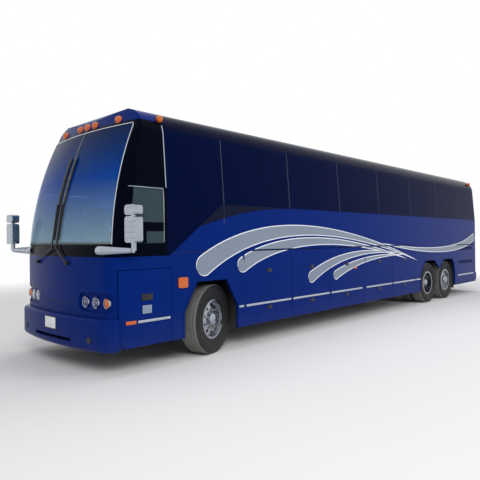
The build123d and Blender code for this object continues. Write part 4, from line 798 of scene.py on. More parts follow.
SIDE_DOORS = ("baggage_door_1", "baggage_door_2", "baggage_door_3", "side_door_4", "side_door_5")
CORNER_DOORS = {LEFT: "radiator_door", RIGHT: "battery_door"}
# Room kept at a door's ends, its hinge bead, and the room over the bead for the lifted door
SEAM_ROOM = 0.019
HINGE_BEAD = 0.018
HEAD_ROOM = 0.027
# Width of a stripe's white edge, the films' thickness, and where each film starts off the skin
STRIPE_MARGIN = 0.016
FILM = 0.0004
DARK_LIFT = 0.0003
WHITE_LIFT = 0.0004
SILVER_LIFT = 0.0010
NEXT_STRIPE_LIFT = 0.0002
FILM_MERGE = 0.0002
FILM_SLIVER = 0.0003

# Columns: head, first handle, second handle, tail, each (ahead, z), and width near the head
SWEEPS = (
    ((0.32, 1.28), (-0.70, 1.95), (-2.60, 2.28), (-7.20, 1.16), 0.340),
    ((-0.54, 1.28), (-1.25, 1.68), (-2.90, 1.98), (-6.60, 1.22), 0.270),
    ((-2.44, 0.98), (-2.95, 1.22), (-3.90, 1.58), (-6.10, 1.38), 0.240),
    ((-3.29, 0.98), (-3.75, 1.16), (-4.70, 1.40), (-6.50, 1.33), 0.200),
)
# The tail stripe runs the other way, from under the last panes up to the rear corner
TAIL_SWEEP = ((-11.46, 1.78), (-10.20, 1.28), (-7.70, 1.34), (-5.30, 1.62), 0.250)
SWEEP_STEPS = 72
HEAD_CROWDING = 1.6
TAIL_TAPER = 0.75
BLUNT_START = 0.004
# Lower edge of the dark sweep under the glass, and where its slanted nose meets the belt line
DARK_SWEEP = ((0.27, 1.935), (-0.30, 2.09), (-0.95, 2.27), (-2.05, 2.275))
DARK_NOSE_TOP = -0.196
BELT_ROOM = 0.002


def sweep_outline(row, shrink):
    """Left and right edges of a stripe: round head, long tapering tail."""
    head, first, second, tail, width = row
    shares = [(step / SWEEP_STEPS) ** HEAD_CROWDING for step in range(SWEEP_STEPS + 1)]
    spine = [Vector(bezier(head, first, second, tail, share)) for share in shares]
    lefts, rights = [], []
    for index, point in enumerate(spine):
        along = spine[min(index + 1, SWEEP_STEPS)] - spine[max(index - 1, 0)]
        normal = Vector((-along.y, along.x)).normalized()
        travelled = (point - spine[0]).length
        full = width / 2 * (1 - shares[index]) ** TAIL_TAPER
        reach = min(travelled + BLUNT_START, width / 2)
        round_head = sqrt(max(1 - (1 - reach / (width / 2)) ** 2, 0.0))
        half = max(full * round_head - shrink, 0.0)
        lefts.append(point + normal * half)
        rights.append(point - normal * half)
    return lefts, rights


def film_strip(mesh_data, lefts, rights, side, lift):
    """Flat strip on one side between two edges of (ahead, z) points."""
    rows = []
    for pair in zip(lefts, rights):
        rows.append([mesh_data.verts.new((ahead(x), side * (SIDE_Y + lift), z)) for x, z in pair])
    join_rows(mesh_data, rows)


def door_panels(side, side_name):
    """Doors of one side as (body, low corner, high corner), without the hinge beads."""
    panels = []
    for door in SIDE_DOORS:
        low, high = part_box(f"{side_name}_{door}")
        panels.append((f"{side_name}_{door}", low, high - HINGE_BEAD * UP))
    return panels + [(CORNER_DOORS[side], *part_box(CORNER_DOORS[side]))]


def panel_under(panels, x, z):
    """Body that carries the place, or None over a seam."""
    for name, low, high in panels:
        if low.x < x < high.x and low.z < z < high.z:
            return name
    for _, low, high in panels:
        inside_x = low.x - SEAM_ROOM < x < high.x + SEAM_ROOM
        if inside_x and low.z - SEAM_ROOM < z < high.z + HEAD_ROOM:
            return None
    return "coach"


def lay_film(mesh_data, name, finish, side, side_name):
    """Cut a film at the door seams and let each part ride on its own panel."""
    panels = door_panels(side, side_name)
    bmesh.ops.remove_doubles(mesh_data, verts=mesh_data.verts, dist=FILM_MERGE)
    for _, low, high in panels:
        cuts = [(x * FORWARD, FORWARD) for x in (low.x, high.x)]
        cuts += [(z * UP, UP) for z in (high.z, high.z + HEAD_ROOM)]
        for place, normal in cuts:
            everything = list(mesh_data.verts) + list(mesh_data.edges) + list(mesh_data.faces)
            bmesh.ops.bisect_plane(mesh_data, geom=everything, plane_co=place, plane_no=normal)
    parts = {}
    for face in mesh_data.faces:
        centre = face.calc_center_median()
        body = panel_under(panels, centre.x, centre.z)
        if body:
            parts.setdefault(body, []).append([corner.co.copy() for corner in face.verts])
    mesh_data.free()
    for body, faces in parts.items():
        part = bmesh.new()
        for corners in faces:
            part.faces.new([part.verts.new(corner) for corner in corners])
        bmesh.ops.remove_doubles(part, verts=part.verts, dist=FILM_MERGE)
        bmesh.ops.dissolve_degenerate(part, edges=part.edges, dist=FILM_SLIVER)
        if not part.faces:
            part.free()
            continue
        thicken(part, list(part.faces), (0, side * FILM, 0))
        piece(f"{name}_{side_name}_on_{body}", part, finish, body)


def dark_sweep_edges():
    """Upper and lower edge of the dark sweep: slanted nose, belt line, and the arc below them."""
    arc = [bezier(*DARK_SWEEP, share) for share in span(0.0, 1.0, 41)]
    nose_x, nose_z = DARK_SWEEP[0]
    nose = Vector((DARK_NOSE_TOP - nose_x, BELT_Z - BELT_ROOM - nose_z))
    long = DARK_SWEEP[-1][0] - DARK_NOSE_TOP
    edge = [(nose_x + s * nose.x, nose_z + s * nose.y) for s in span(0.0, 1.0, 9)]
    edge += [(DARK_NOSE_TOP + s * long, BELT_Z - BELT_ROOM) for s in span(0.03, 1.0, 32)]
    return edge, arc


def stripes():
    """White-edged silver sweeps and the dark sweep under the glass, on both sides."""
    for side, side_name in SIDES:
        white, silver = bmesh.new(), bmesh.new()
        for order, row in enumerate((*SWEEPS, TAIL_SWEEP)):
            lift = NEXT_STRIPE_LIFT * order
            film_strip(white, *sweep_outline(row, 0.0), side, WHITE_LIFT + lift)
            film_strip(silver, *sweep_outline(row, STRIPE_MARGIN), side, SILVER_LIFT + lift)
        lay_film(white, "white_stripe", white_film, side, side_name)
        lay_film(silver, "silver_stripe", silver_film, side, side_name)
        dark = bmesh.new()
        film_strip(dark, *dark_sweep_edges(), side, DARK_LIFT)
        lay_film(dark, "dark_sweep", dark_film, side, side_name)


# Side trim: rails, latches, reflectors, vents and arch edges

# How far a fitting is set into the skin that carries it
SEAT_IN = 0.001
RAIL_Z = 0.672
CORNER_RAIL_Z = 0.614
RAIL_HALF = 0.018
RAIL_PROUD = 0.011
RAIL_EDGE = 0.006
RAIL_BEAD_R = 0.004
RAIL_END = 0.028
ARCH_ROOM = 0.015
LATCH_ROWS = (0.59, 1.215)
# Columns: half length, foot and head from the middle, proud, edge radius, edge steps
LATCH_BLOCKS = ((0.062, -0.030, 0.030, 0.005, 0.010, 3), (0.045, -0.018, 0.016, 0.012, 0.006, 2))
SIDE_MARKER_X = (-4.16, -4.06)
SIDE_MARKER_Z = (1.10, 1.14)


def side_block(mesh_data, xs, zs, side, proud, edge, steps=2):
    """Rounded block on the flat of one side, set a little into the skin."""
    low = (xs[0], side * (SIDE_Y - SEAT_IN), zs[0])
    high = (xs[1], side * (SIDE_Y + proud), zs[1])
    rounded_bar(mesh_data, low, high, edge, steps)


def trim_rail(mesh_data, start_x, end_x, side, z=RAIL_Z):
    """Rounded alloy rail with a bead along its middle."""
    heights = (z - RAIL_HALF, z + RAIL_HALF)
    side_block(mesh_data, (start_x, end_x), heights, side, RAIL_PROUD, RAIL_EDGE, 3)
    bead_y = side * (SIDE_Y + RAIL_PROUD)
    bead = ((start_x + RAIL_EDGE, bead_y, z), (end_x - RAIL_EDGE, bead_y, z))
    tube(mesh_data, bead, RAIL_BEAD_R)


def latch(mesh_data, x, z, side):
    """Paddle latch: a dished escutcheon with a raised paddle."""
    for half, foot, head, proud, edge, steps in LATCH_BLOCKS:
        side_block(mesh_data, (x - half, x + half), (z + foot, z + head), side, proud, edge, steps)


def side_trim():
    """Rails and latches of each side door, and the fixed stretches between them."""
    for side, side_name in SIDES:
        for door in SIDE_DOORS:
            body = f"{side_name}_{door}"
            low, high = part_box(body)
            rail = bmesh.new()
            trim_rail(rail, low.x + RAIL_END, high.x - RAIL_END, side)
            piece(f"{body}_rail", rail, bright_trim, body)
            latches = bmesh.new()
            for z in LATCH_ROWS:
                latch(latches, (low.x + high.x) / 2, z, side)
            piece(f"{body}_latches", latches, black_plastic, body)
        corner = CORNER_DOORS[side]
        low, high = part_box(corner)
        rail = bmesh.new()
        trim_rail(rail, low.x + RAIL_END, high.x - RAIL_END, side, CORNER_RAIL_Z)
        piece(f"{corner}_rail", rail, bright_trim, corner)
        fixed = bmesh.new()
        first_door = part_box(f"{side_name}_baggage_door_1")[1].x
        last_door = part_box(f"{side_name}_side_door_5")[0].x
        trim_rail(fixed, first_door + RAIL_END, ahead(FRONT_ARCH[-1][0] - ARCH_ROOM), side)
        trim_rail(fixed, DRIVE_AXLE_X + REAR_ARCH[0][0] + ARCH_ROOM, last_door - RAIL_END, side)
        piece(f"{side_name}_wall_rails", fixed, bright_trim, "coach")
        marker = bmesh.new()
        side_block(marker, span_ahead(SIDE_MARKER_X), SIDE_MARKER_Z, side, 0.016, 0.010, 3)
        body = f"{side_name}_baggage_door_3"
        piece(f"{side_name}_side_marker", marker, amber_lens, body)


# Wheel arch outlines as (ahead of the axle, z) corners, the same as the openings
FRONT_ARCH = (
    (0.583, 0.345),
    (0.583, 0.720),
    (0.469, 0.909),
    (0.332, 1.135),
    (-0.286, 1.135),
    (-0.481, 0.790),
    (-0.530, 0.720),
    (-0.530, 0.345),
)
TAG_BACK = DRIVE_AXLE_X - TAG_AXLE_X
REAR_ARCH = (
    (0.650, 0.345),
    (0.650, 0.720),
    (0.470, 1.010),
    (0.320, 1.135),
    (-0.280, 1.135),
    (-TAG_BACK / 2, 0.900),
    (0.280 - TAG_BACK, 1.135),
    (-0.320 - TAG_BACK, 1.135),
    (-0.470 - TAG_BACK, 0.980),
    (-0.540 - TAG_BACK, 0.720),
    (-0.540 - TAG_BACK, 0.345),
)
ARCH_LIP_R = 0.011


def arch_edges():
    """Pressed lips round the wheel arches."""
    for side, side_name in SIDES:
        lips = bmesh.new()
        for outline, axle_x in ((FRONT_ARCH, FRONT_AXLE_X), (REAR_ARCH, DRIVE_AXLE_X)):
            path = [(axle_x + x, side * (SIDE_Y + 0.001), z) for x, z in outline]
            tube(lips, path, ARCH_LIP_R, 8, flat=(ACROSS, 0.6))
        piece(f"{side_name}_arch_lips", lips, coach_blue, "coach")


# Service door fittings, ahead of the axle and in height
VENT_X = (1.13, 1.31)
VENT_Z = (0.942, 1.028)
SLAT_X = (1.15, 1.29)
SLATS_Z = (0.962, 1.008)
SLAT_HALF = 0.006
CORNER_LAMP_X = (1.15, 1.30)
CORNER_LAMP_Z = (0.77, 0.88)
REFLECTOR_X = (1.40, 1.545)
REFLECTOR_R = 0.024
SERVICE_RAIL_END = 1.37


def service_door_fittings():
    """Vent, corner lamp and reflector on the service door, and its rail."""
    body = "service_door"
    vent, lamp, reflector, rail = bmesh.new(), bmesh.new(), bmesh.new(), bmesh.new()
    side_block(vent, span_ahead(VENT_X), VENT_Z, LEFT, 0.007, 0.008, 3)
    for z in span(*SLATS_Z, 3):
        side_block(vent, span_ahead(SLAT_X), (z - SLAT_HALF, z + SLAT_HALF), LEFT, 0.013, 0.004)
    piece("service_door_vent", vent, black_plastic, body)
    side_block(lamp, span_ahead(CORNER_LAMP_X), CORNER_LAMP_Z, LEFT, 0.012, 0.018, 3)
    piece("service_door_lamp", lamp, pale_lens, body)
    path = [on_side(x, RAIL_Z, LEFT, 0.004) for x in span(*span_ahead(REFLECTOR_X), 9)]
    tube(reflector, path, REFLECTOR_R, 10, flat=(ACROSS, 0.45))
    piece("service_door_reflector", reflector, amber_lens, body)
    trim_rail(rail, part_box(body)[0].x + RAIL_END, ahead(SERVICE_RAIL_END), LEFT)
    piece("service_door_rail", rail, bright_trim, body)


# Front: windshield moulding as a painted highlight line, wiper blades, plate, lamps

# The moulding's bright alloy is a painted highlight: it stands for the glint along the edge of the dark
# gasket
MOULDING_R = 0.008
MOULDING_PROUD = 0.003
# The moulding turns its upper corners over this share of the height, and this far in
CORNER_SHARE = 0.02
CORNER_IN = 0.02
FOOT_RUBBER_R = 0.010
DIVIDER_R = 0.013
DIVIDER_END = 0.01
# The skin is felt just beside the gap between the panes
BESIDE_GAP_Y = 0.012
PANE_RUBBER_Y = 0.016
PANE_RUBBER_R = 0.006


def windshield_trim():
    """Bright moulding up the sides and over the top as a painted highlight of the gasket's glint,
    rubber along the foot and between the panes.
    """
    low, high = SCREEN_Z
    foot, head = SCREEN_HALF
    rise, draw = high - low, head - foot
    glint_moulding, rubber, divider = bmesh.new(), bmesh.new(), bmesh.new()
    edge = [(foot + draw * s, low + rise * s) for s in span(0.0, 1.0 - CORNER_SHARE, 24)]
    edge += [(y, high) for y in span(head - CORNER_IN, CORNER_IN - head, 25)]
    edge += [(-head + draw * s, high - rise * s) for s in span(CORNER_SHARE, 1.0, 24)]
    tube(glint_moulding, [on_front(y, z, MOULDING_PROUD) for y, z in edge], MOULDING_R, 8)
    piece("windshield_moulding", glint_moulding, bright_trim, "coach")
    sill = [on_front(y, low, MOULDING_PROUD) for y in span(-foot, foot, 25)]
    tube(rubber, sill, FOOT_RUBBER_R, 8)
    path = [on_front(BESIDE_GAP_Y, z) for z in span(low + DIVIDER_END, high - DIVIDER_END, 24)]
    strip = [(x, 0.0, z) for x, _, z in path]
    tube(divider, strip, DIVIDER_R, 10, flat=(FORWARD, 0.6))
    for y in (-PANE_RUBBER_Y, PANE_RUBBER_Y):
        tube(rubber, [(x, y, z) for x, _, z in strip], PANE_RUBBER_R, 8)
    piece("windshield_rubbers", rubber, seal_rubber, "coach")
    piece("windshield_divider", divider, divider_alloy, "coach")


# Columns: y of the blade, direction of its wind wing
WIPER_BLADES = ((0.060, LEFT), (-0.070, RIGHT))
BLADE_Z = (2.300, 2.960)
TIP_FROM_Z = 2.740
TIP_RADII = [0.015] * 6 + [0.013, 0.007]
WING_RADII = [0.010] + [0.021] * 22 + [0.008]
WING_BESIDE = 0.021
CLIPS_Z = (1.84, 1.98, 2.12, 2.36, 2.48, 2.60, 2.72)
CLIP_BACK = Vector((0.018, 0.019, 0.010))
CLIP_FRONT = Vector((0.020, 0.019, 0.010))


def wiper_blades():
    """Blade tips with their wind wings, and the bridge clips along the blades."""
    blades, clips = bmesh.new(), bmesh.new()
    for y, way in WIPER_BLADES:
        tip = [on_front(y, z, 0.017) for z in span(TIP_FROM_Z, BLADE_Z[1], len(TIP_RADII))]
        tube(blades, tip, TIP_RADII, 10)
        beside = y + way * WING_BESIDE
        wing = [on_front(beside, z, 0.022) for z in span(*BLADE_Z, len(WING_RADII))]
        tube(blades, wing, WING_RADII, 8, flat=(FORWARD, 0.35))
        for z in CLIPS_Z:
            spot = on_front(y, z, 0.016)
            rounded_bar(clips, spot - CLIP_BACK, spot + CLIP_FRONT, 0.005, 2)
    piece("wiper_blade_tips", blades, black_plastic, "coach")
    piece("wiper_bridge_clips", clips, black_plastic, "coach")


PLATE_HALF = 0.152
PLATE_Z = (0.530, 0.682)
HOLDER_EDGE = 0.012
SCREW_Y = 0.09
SCREW_IN = 0.016
SCREW_HEAD = ((0.006, 0.006), (0.006, 0.009), (0.003, 0.0105), (0.0, 0.0105))


def front_plate():
    """Blank plate in its frame on the bumper."""
    plate, holder = bmesh.new(), bmesh.new()
    low, high = PLATE_Z
    wide = PLATE_HALF + HOLDER_EDGE
    foot = (NOSE_X - 0.012, -wide, low - HOLDER_EDGE)
    rounded_bar(holder, foot, (NOSE_X + 0.004, wide, high + HOLDER_EDGE), 0.006, 3)
    rounded_bar(plate, (NOSE_X - 0.004, -PLATE_HALF, low), (NOSE_X + 0.007, PLATE_HALF, high), 0.004, 3)
    for y in (-SCREW_Y, SCREW_Y):
        for z in (low + SCREW_IN, high - SCREW_IN):
            lathe(plate, SCREW_HEAD, (NOSE_X, y, z), FORWARD, 12)
    piece("front_plate_holder", holder, black_plastic, "coach")
    piece("front_plate_blank", plate, plate_white, "coach")


LAMP_Z = 0.930
TRAY_Y = (0.690, 1.120)
TRAY_R = 0.125
TRAY_BACK = 0.034
# Columns: y of the lamp's middle, radius, lens finish
HEADLAMPS = ((0.700, 0.078, lamp_lens), (0.905, 0.078, lamp_lens), (1.110, 0.070, amber_lens))
TRAY_THICK = 0.012
# Columns: share of the lamp's radius, distance out from the tray
BEZEL = ((0.86, -0.004), (1.02, -0.004), (1.02, 0.010), (0.96, 0.020), (0.88, 0.017))
BULB = ((0.0, 0.004), (0.009, 0.001), (0.012, -0.008), (0.012, -0.026))
BOWL_SHARES = (0.0, 0.15, 0.35, 0.6, 0.85, 1.0)
BOWL_DEEP = 0.030
LENS_SHARES = (0.0, 0.2, 0.4, 0.6, 0.8, 1.0)
LENS_CROWN = 0.014
LENS_THICK = 0.004


def tray_half(y):
    """Half height of the round-ended lamp opening."""
    beyond = max(TRAY_Y[0] - y, y - TRAY_Y[1], 0.0)
    return sqrt(max(TRAY_R**2 - beyond**2, 0.0))


def lamp_trays():
    """Curved trays behind the headlamps."""
    trays = bmesh.new()
    for side, _ in SIDES:
        rows = []
        for y in span(TRAY_Y[0] - TRAY_R * 0.999, TRAY_Y[1] + TRAY_R * 0.999, 40):
            half = tray_half(y)
            x = face_plan_x(y) - TRAY_BACK
            rows.append([trays.verts.new((x, side * y, LAMP_Z + half * s)) for s in span(-1.0, 1.0, 9)])
        join_rows(trays, rows)
    thicken(trays, list(trays.faces), (-TRAY_THICK, 0, 0))
    return piece("headlamp_trays", trays, coach_blue, "coach")


def headlamp_units():
    """Bezel, reflector bowl, bulb and domed lens of each round headlamp."""
    bezels, bowls, clears, ambers = bmesh.new(), bmesh.new(), bmesh.new(), bmesh.new()
    bowl_r, lens_r = BEZEL[0][0], BEZEL[-1][0]
    for side, _ in SIDES:
        for lamp_y, radius, finish in HEADLAMPS:
            centre = (face_plan_x(lamp_y) - TRAY_BACK, side * lamp_y, LAMP_Z)
            ring = [(radius * share, out) for share, out in BEZEL]
            lathe(bezels, ring, centre, FORWARD, 48, closed=True)
            bowl = [(radius * bowl_r * s, 0.004 - BOWL_DEEP * (1 - s * s)) for s in BOWL_SHARES]
            lathe(bowls, bowl, centre, FORWARD, 40)
            lathe(bowls, BULB, centre, FORWARD, 16)
            dome = [(radius * lens_r * s, 0.014 + LENS_CROWN * (1 - s * s)) for s in LENS_SHARES]
            shell = dome + [(r, out - LENS_THICK) for r, out in reversed(dome)]
            lathe(clears if finish is lamp_lens else ambers, shell, centre, FORWARD, 48)
    piece("headlamp_bezels", bezels, chrome, "coach")
    piece("headlamp_bowls", bowls, reflector_silver, "coach")
    piece("headlamp_clear_lenses", clears, lamp_lens, "coach")
    piece("headlamp_turn_lenses", ambers, amber_lens, "coach")


TAIL_LAMP_R = 0.075
# Columns: radius, distance out from the rear wall
TAIL_RING = ((0.074, -0.001), (0.090, -0.001), (0.088, 0.010), (0.080, 0.014), (0.075, 0.011))


def tail_lamp_rings():
    """Chrome rings round the tail lamps."""
    rings = bmesh.new()
    low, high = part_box("tail_lamps")
    for side, _ in SIDES:
        middle_y = side * (high.y - TAIL_LAMP_R)
        for z in (low.z + TAIL_LAMP_R, (low.z + high.z) / 2, high.z - TAIL_LAMP_R):
            lathe(rings, TAIL_RING, (TAIL_X, middle_y, z), -FORWARD, 40, closed=True)
    piece("tail_lamp_rings", rings, chrome, "coach")


# Tyres and wheel hardware

TYRE_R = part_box("tag_tyre_left")[1].z / 2
TREAD_HALF = 0.130
# Faces further out than this wear the tread rubber: black rubber painted light grey as sunlit, with a
# road dust film
TREAD_FROM_R = 0.516
GROOVES = (-0.088, -0.030, 0.030, 0.088)
GROOVE_HALF = 0.0065
GROOVE_DEPTH = 0.015
# Columns: radius, distance out from the tyre's middle plane, from the bead to the shoulder
SIDEWALL = (
    (0.287, 0.109),
    (0.3035, 0.1245),
    (0.312, 0.1290),
    (0.326, 0.1325),
    (0.330, 0.1368),
    (0.336, 0.1372),
    (0.342, 0.1392),
    (0.375, 0.1500),
    (0.413, 0.1575),
    (0.436, 0.1562),
    (0.440, 0.1585),
    (0.446, 0.1580),
    (0.450, 0.1545),
    (0.472, 0.1500),
    (0.494, 0.1440),
    (0.508, 0.1400),
    (0.519, 0.1345),
)


def tyre_profile():
    """Closed tyre section with ribs and grooves, and the indexes of its shoulder points."""
    out = list(SIDEWALL) + [(TYRE_R - 0.001, TREAD_HALF)]
    tread = []
    for middle in reversed(GROOVES):
        tread.append((TYRE_R, middle + GROOVE_HALF))
        tread.append((TYRE_R - GROOVE_DEPTH, middle + GROOVE_HALF * 0.6))
        tread.append((TYRE_R - GROOVE_DEPTH, middle - GROOVE_HALF * 0.6))
        tread.append((TYRE_R, middle - GROOVE_HALF))
    inner = [(radius, -along) for radius, along in reversed(out)]
    count = len(out)
    shoulders = {count - 2, count - 1, count + len(tread), count + len(tread) + 1}
    return out + tread + inner, shoulders


TYRE_TURNS = 144
NOTCH_EVERY = 4
NOTCH_DEPTH = 0.007


def add_tyre(mesh_data, centre, axis):
    """One ribbed road tyre with notched shoulders."""
    profile, shoulders = tyre_profile()

    def notch(index, step):
        return -NOTCH_DEPTH if index in shoulders and step % NOTCH_EVERY == 0 else 0.0

    lathe(mesh_data, profile, centre, axis, TYRE_TURNS, closed=True, notch=notch)


NUTS = 10
NUT_CIRCLE_R = 0.1360
NUT_ACROSS = 0.033
# Columns: share of the nut's width across flats, distance out from its seat
NUT_FLANGE = ((0.0, 0.0), (0.72, 0.0), (0.70, 0.004), (0.5, 0.006))
NUT_HEX = ((0.577, 0.003), (0.577, 0.020), (0.49, 0.025))
# Columns: radius, distance out
STUD = ((0.011, 0.024), (0.011, 0.034), (0.008, 0.037), (0.0, 0.037))


def hex_nut(mesh_data, base, axis, turn):
    """Flanged wheel nut with its stud end."""
    side_dir = axis.orthogonal().normalized()
    other = axis.cross(side_dir)
    lathe(mesh_data, [(NUT_ACROSS * share, out) for share, out in NUT_FLANGE], base, axis, 18)
    rings = []
    for share, out in NUT_HEX:
        ring = []
        for step in range(6):
            angle = turn + pi / 3 * step
            reach = NUT_ACROSS * share * (cos(angle) * side_dir + sin(angle) * other)
            ring.append(mesh_data.verts.new(base + axis * out + reach))
        rings.append(ring)
    join_stack(mesh_data, rings)
    mesh_data.faces.new(rings[-1])
    lathe(mesh_data, STUD, base, axis, 14)


# Columns: axle, word in the tyre node's name, tyre offsets inwards, nut seat out from the roll joint,
# hub cap radius, hub cap out
WHEELS = (
    ("front", "tyre", (0.0,), 0.092, 0.096, 0.116),
    ("drive", "tyres", (0.0, 0.340), -0.110, 0.086, 0.060),
    ("tag", "tyre", (0.0,), 0.092, 0.096, 0.116),
)
TYRE_CREASE = 28.0


def hub_cap_profile(radius, out):
    """Domed cap with a short skirt."""
    dome = [(radius * sin(a), out + 0.012 + 0.030 * cos(a)) for a in span(0.0, pi / 2, 9)]
    return dome + [(radius * 1.06, out + 0.008), (radius * 1.06, out - 0.02)]


def wheels():
    """Tyres, nuts and hub caps of every wheel."""
    for side, side_name in SIDES:
        for axle, tyre_word, offsets, nut_out, cap_r, cap_out in WHEELS:
            joint = joints[f"{axle}_{side_name}_roll"]
            out = (Vector(joint["axis"]) * side).normalized()
            centre = Vector(joint["pos_m"])
            body = f"{axle}_wheel_{side_name}"
            node_name = f"{axle}_{tyre_word}_{side_name}"
            rubber = bmesh.new()
            for offset in offsets:
                add_tyre(rubber, centre - out * offset, out)
            for face in rubber.faces:
                spoke = face.calc_center_median() - centre
                if (spoke - out * spoke.dot(out)).length > TREAD_FROM_R:
                    face.material_index = 1
            made = piece(f"{node_name}_treaded", rubber, tyre_rubber, body, TYRE_CREASE)
            made.data.materials.append(tread_rubber_painted_light)
            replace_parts(made, node_name)
            across = out.orthogonal().normalized()
            other = out.cross(across)
            nuts, cap = bmesh.new(), bmesh.new()
            for index in range(NUTS):
                turn = 2 * pi * index / NUTS
                reach = NUT_CIRCLE_R * (cos(turn) * across + sin(turn) * other)
                hex_nut(nuts, centre + out * nut_out + reach, out, turn)
            piece(f"{body}_nuts", nuts, nut_steel, body)
            lathe(cap, hub_cap_profile(cap_r, cap_out), centre, out, 48)
            piece(f"{body}_hub_cap", cap, chrome, body)


# Side glass: seam rubbers, the driver's window frame and sash, and the panel line over the arch

FIRST_SEAM_X = 4.695
PANE_PITCH = 1.658
PANE_SEAMS = 7
SEAM_FOOT_Z = BELT_Z + 0.006
# The first seam runs on down to the foot of the dark sweep
FIRST_SEAM_FOOT_Z = BELT_Z - 0.30
SEAM_RUBBER_R = 0.0065
GLASS_TOP_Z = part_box("windows")[1].z
REAR_OF_DRIVER_X = 5.806
POST_MOULDING_Z = (2.46, GLASS_TOP_Z + 0.04)
POST_MOULDING_R = 0.007
LOWER_PANE_LONG = 0.30


def upright(mesh_data, x, beside, heights, count, side, proud, radius):
    """Line up a side at one x, its depth felt on the skin just beside it."""
    path = [on_side(x + beside, z, side, proud) for z in span(*heights, count)]
    tube(mesh_data, [(x, point.y, point.z) for point in path], radius, 8)


def glass_trim():
    """Rubbers between the side panes and the bright line behind the driver's window."""
    for side, side_name in SIDES:
        rubbers = bmesh.new()
        for seam in range(PANE_SEAMS):
            heights = (SEAM_FOOT_Z if seam else FIRST_SEAM_FOOT_Z, GLASS_TOP_Z - 0.01)
            x = FIRST_SEAM_X - PANE_PITCH * seam
            upright(rubbers, x, 0.03, heights, 16, side, -0.002, SEAM_RUBBER_R)
        piece(f"{side_name}_pane_rubbers", rubbers, seal_grey, "coach")
    line = bmesh.new()
    upright(line, REAR_OF_DRIVER_X, 0.02, POST_MOULDING_Z, 14, LEFT, 0.001, POST_MOULDING_R)
    piece("driver_post_moulding", line, bright_trim, "coach")


COVER_PROUD = 0.0015
COVER_THICK = 0.006
FRAME_IN = 0.006
FRAME_LINE_R = 0.005
SASH_IN = 0.012


def pane_cover(mesh_data, xs, zs):
    """Add a thin cover over part of the driver's window."""
    rows = []
    for z in span(*zs, 6):
        rows.append([mesh_data.verts.new(on_side(x, z, LEFT, COVER_PROUD)) for x in span(*xs, 8)])
    thicken(mesh_data, join_rows(mesh_data, rows), (0, COVER_THICK, 0))


def driver_window():
    """Upper and rear frame lines, the sash, and the black cover ahead of the small lower pane."""
    frame_edge, sash = bmesh.new(), bmesh.new()
    low_x, high_x = span_ahead(DRIVER_PANE_X)
    low_z, high_z = DRIVER_PANE_Z
    rear_x, front_x = low_x + FRAME_IN, high_x - SASH_IN
    line = [(x, high_z - 0.004) for x in span(high_x - 0.03, rear_x, 10)]
    line += [(rear_x, z) for z in span(high_z - 0.02, low_z + 0.02, 16)]
    tube(frame_edge, [on_side(x, z, LEFT, 0.001) for x, z in line], FRAME_LINE_R, 8)
    piece("driver_window_frame", frame_edge, bright_trim, "coach")
    pane_cover(sash, (low_x + SASH_IN, front_x), DRIVER_SASH_Z)
    pane_cover(sash, (low_x + LOWER_PANE_LONG, front_x), (low_z + FRAME_IN, DRIVER_SASH_Z[0]))
    piece("driver_window_sash", sash, gloss_black, "coach")


# Joint over the front arch: height, rear end and each side's front end, ahead of the axle
ARCH_JOINT_Z = 1.557
ARCH_JOINT_REAR = -0.665
ARCH_JOINT_FRONT = {LEFT: 0.80, RIGHT: 0.63}
ARCH_JOINT_R = 0.0028
# Lower line of the front lid: half width, height in the middle, rise at its ends
LID_HALF = 0.50
LID_Z = 0.885
LID_RISE = 0.085
LID_LINE_R = 0.0032


def panel_lines():
    """Thin sealed joints over the front arches and the curved lower line of the front lid."""
    joint = bmesh.new()
    for side, _ in SIDES:
        xs = span_ahead((ARCH_JOINT_REAR, ARCH_JOINT_FRONT[side]))
        path = [on_side(x, ARCH_JOINT_Z, side, 0.0016) for x in span(*xs, 24)]
        tube(joint, path, ARCH_JOINT_R, 6)
    lid = []
    for y in span(-LID_HALF, LID_HALF, 41):
        lid.append(on_front(y, LID_Z + LID_RISE * (abs(y) / LID_HALF) ** 3, 0.0005))
    tube(joint, lid, LID_LINE_R, 6)
    piece("panel_joint_sealant", joint, seal_rubber, "coach")


PLUG_Y = 0.92
PLUG_Z = 0.455
PLUG_PROUD = 0.006
# Columns: radius, distance out
PLUG_DISH = ((0.044, -0.004), (0.044, 0.002), (0.036, 0.003), (0.031, -0.002), (0.0, -0.003))


def bumper_plugs():
    """Round tow-hook plugs low in the bumper corners."""
    plugs = bmesh.new()
    for side, _ in SIDES:
        spot = on_front(side * PLUG_Y, PLUG_Z)
        beside = on_front(side * (PLUG_Y + 0.06), PLUG_Z)
        along = (beside - spot).normalized()
        out = Vector((abs(along.y), -along.x * side, 0.0)).normalized()
        lathe(plugs, PLUG_DISH, spot + PLUG_PROUD * out, out, 32)
    piece("bumper_plugs", plugs, black_plastic, "coach")


# Mirrors: reflecting faces, ribs on the backs, and the shrouds where the arms meet the sill

MIRROR_Y = 1.500
# Columns: side, head ahead of the axle, arm height
MIRROR_HEADS = ((LEFT, 1.560, 1.610), (RIGHT, 1.830, 1.600))
HEAD_HALF_DEPTH = 0.055
# Columns: middle of the glass over the arm, half height of its housing, ribs on the back
MIRROR_PANES = ((0.265, 0.165, 4), (0.510, 0.065, 2))
GLASS_HALF = 0.106
GLASS_IN = 0.014
GLASS_CORNER = 0.04
GASKET_R = 0.005
RIB_HALF = Vector((0.0, 0.098, 0.010))
RIB_SPREAD = 0.62
# Shroud along the sill from the inner end to the corner, then along the arm
SHROUD_Y = (0.96, 1.12)
SHROUD_CORNER_Y = 1.17
SHROUD_R = (0.040, 0.060, 0.056)
SHROUD_TAPER = 0.022


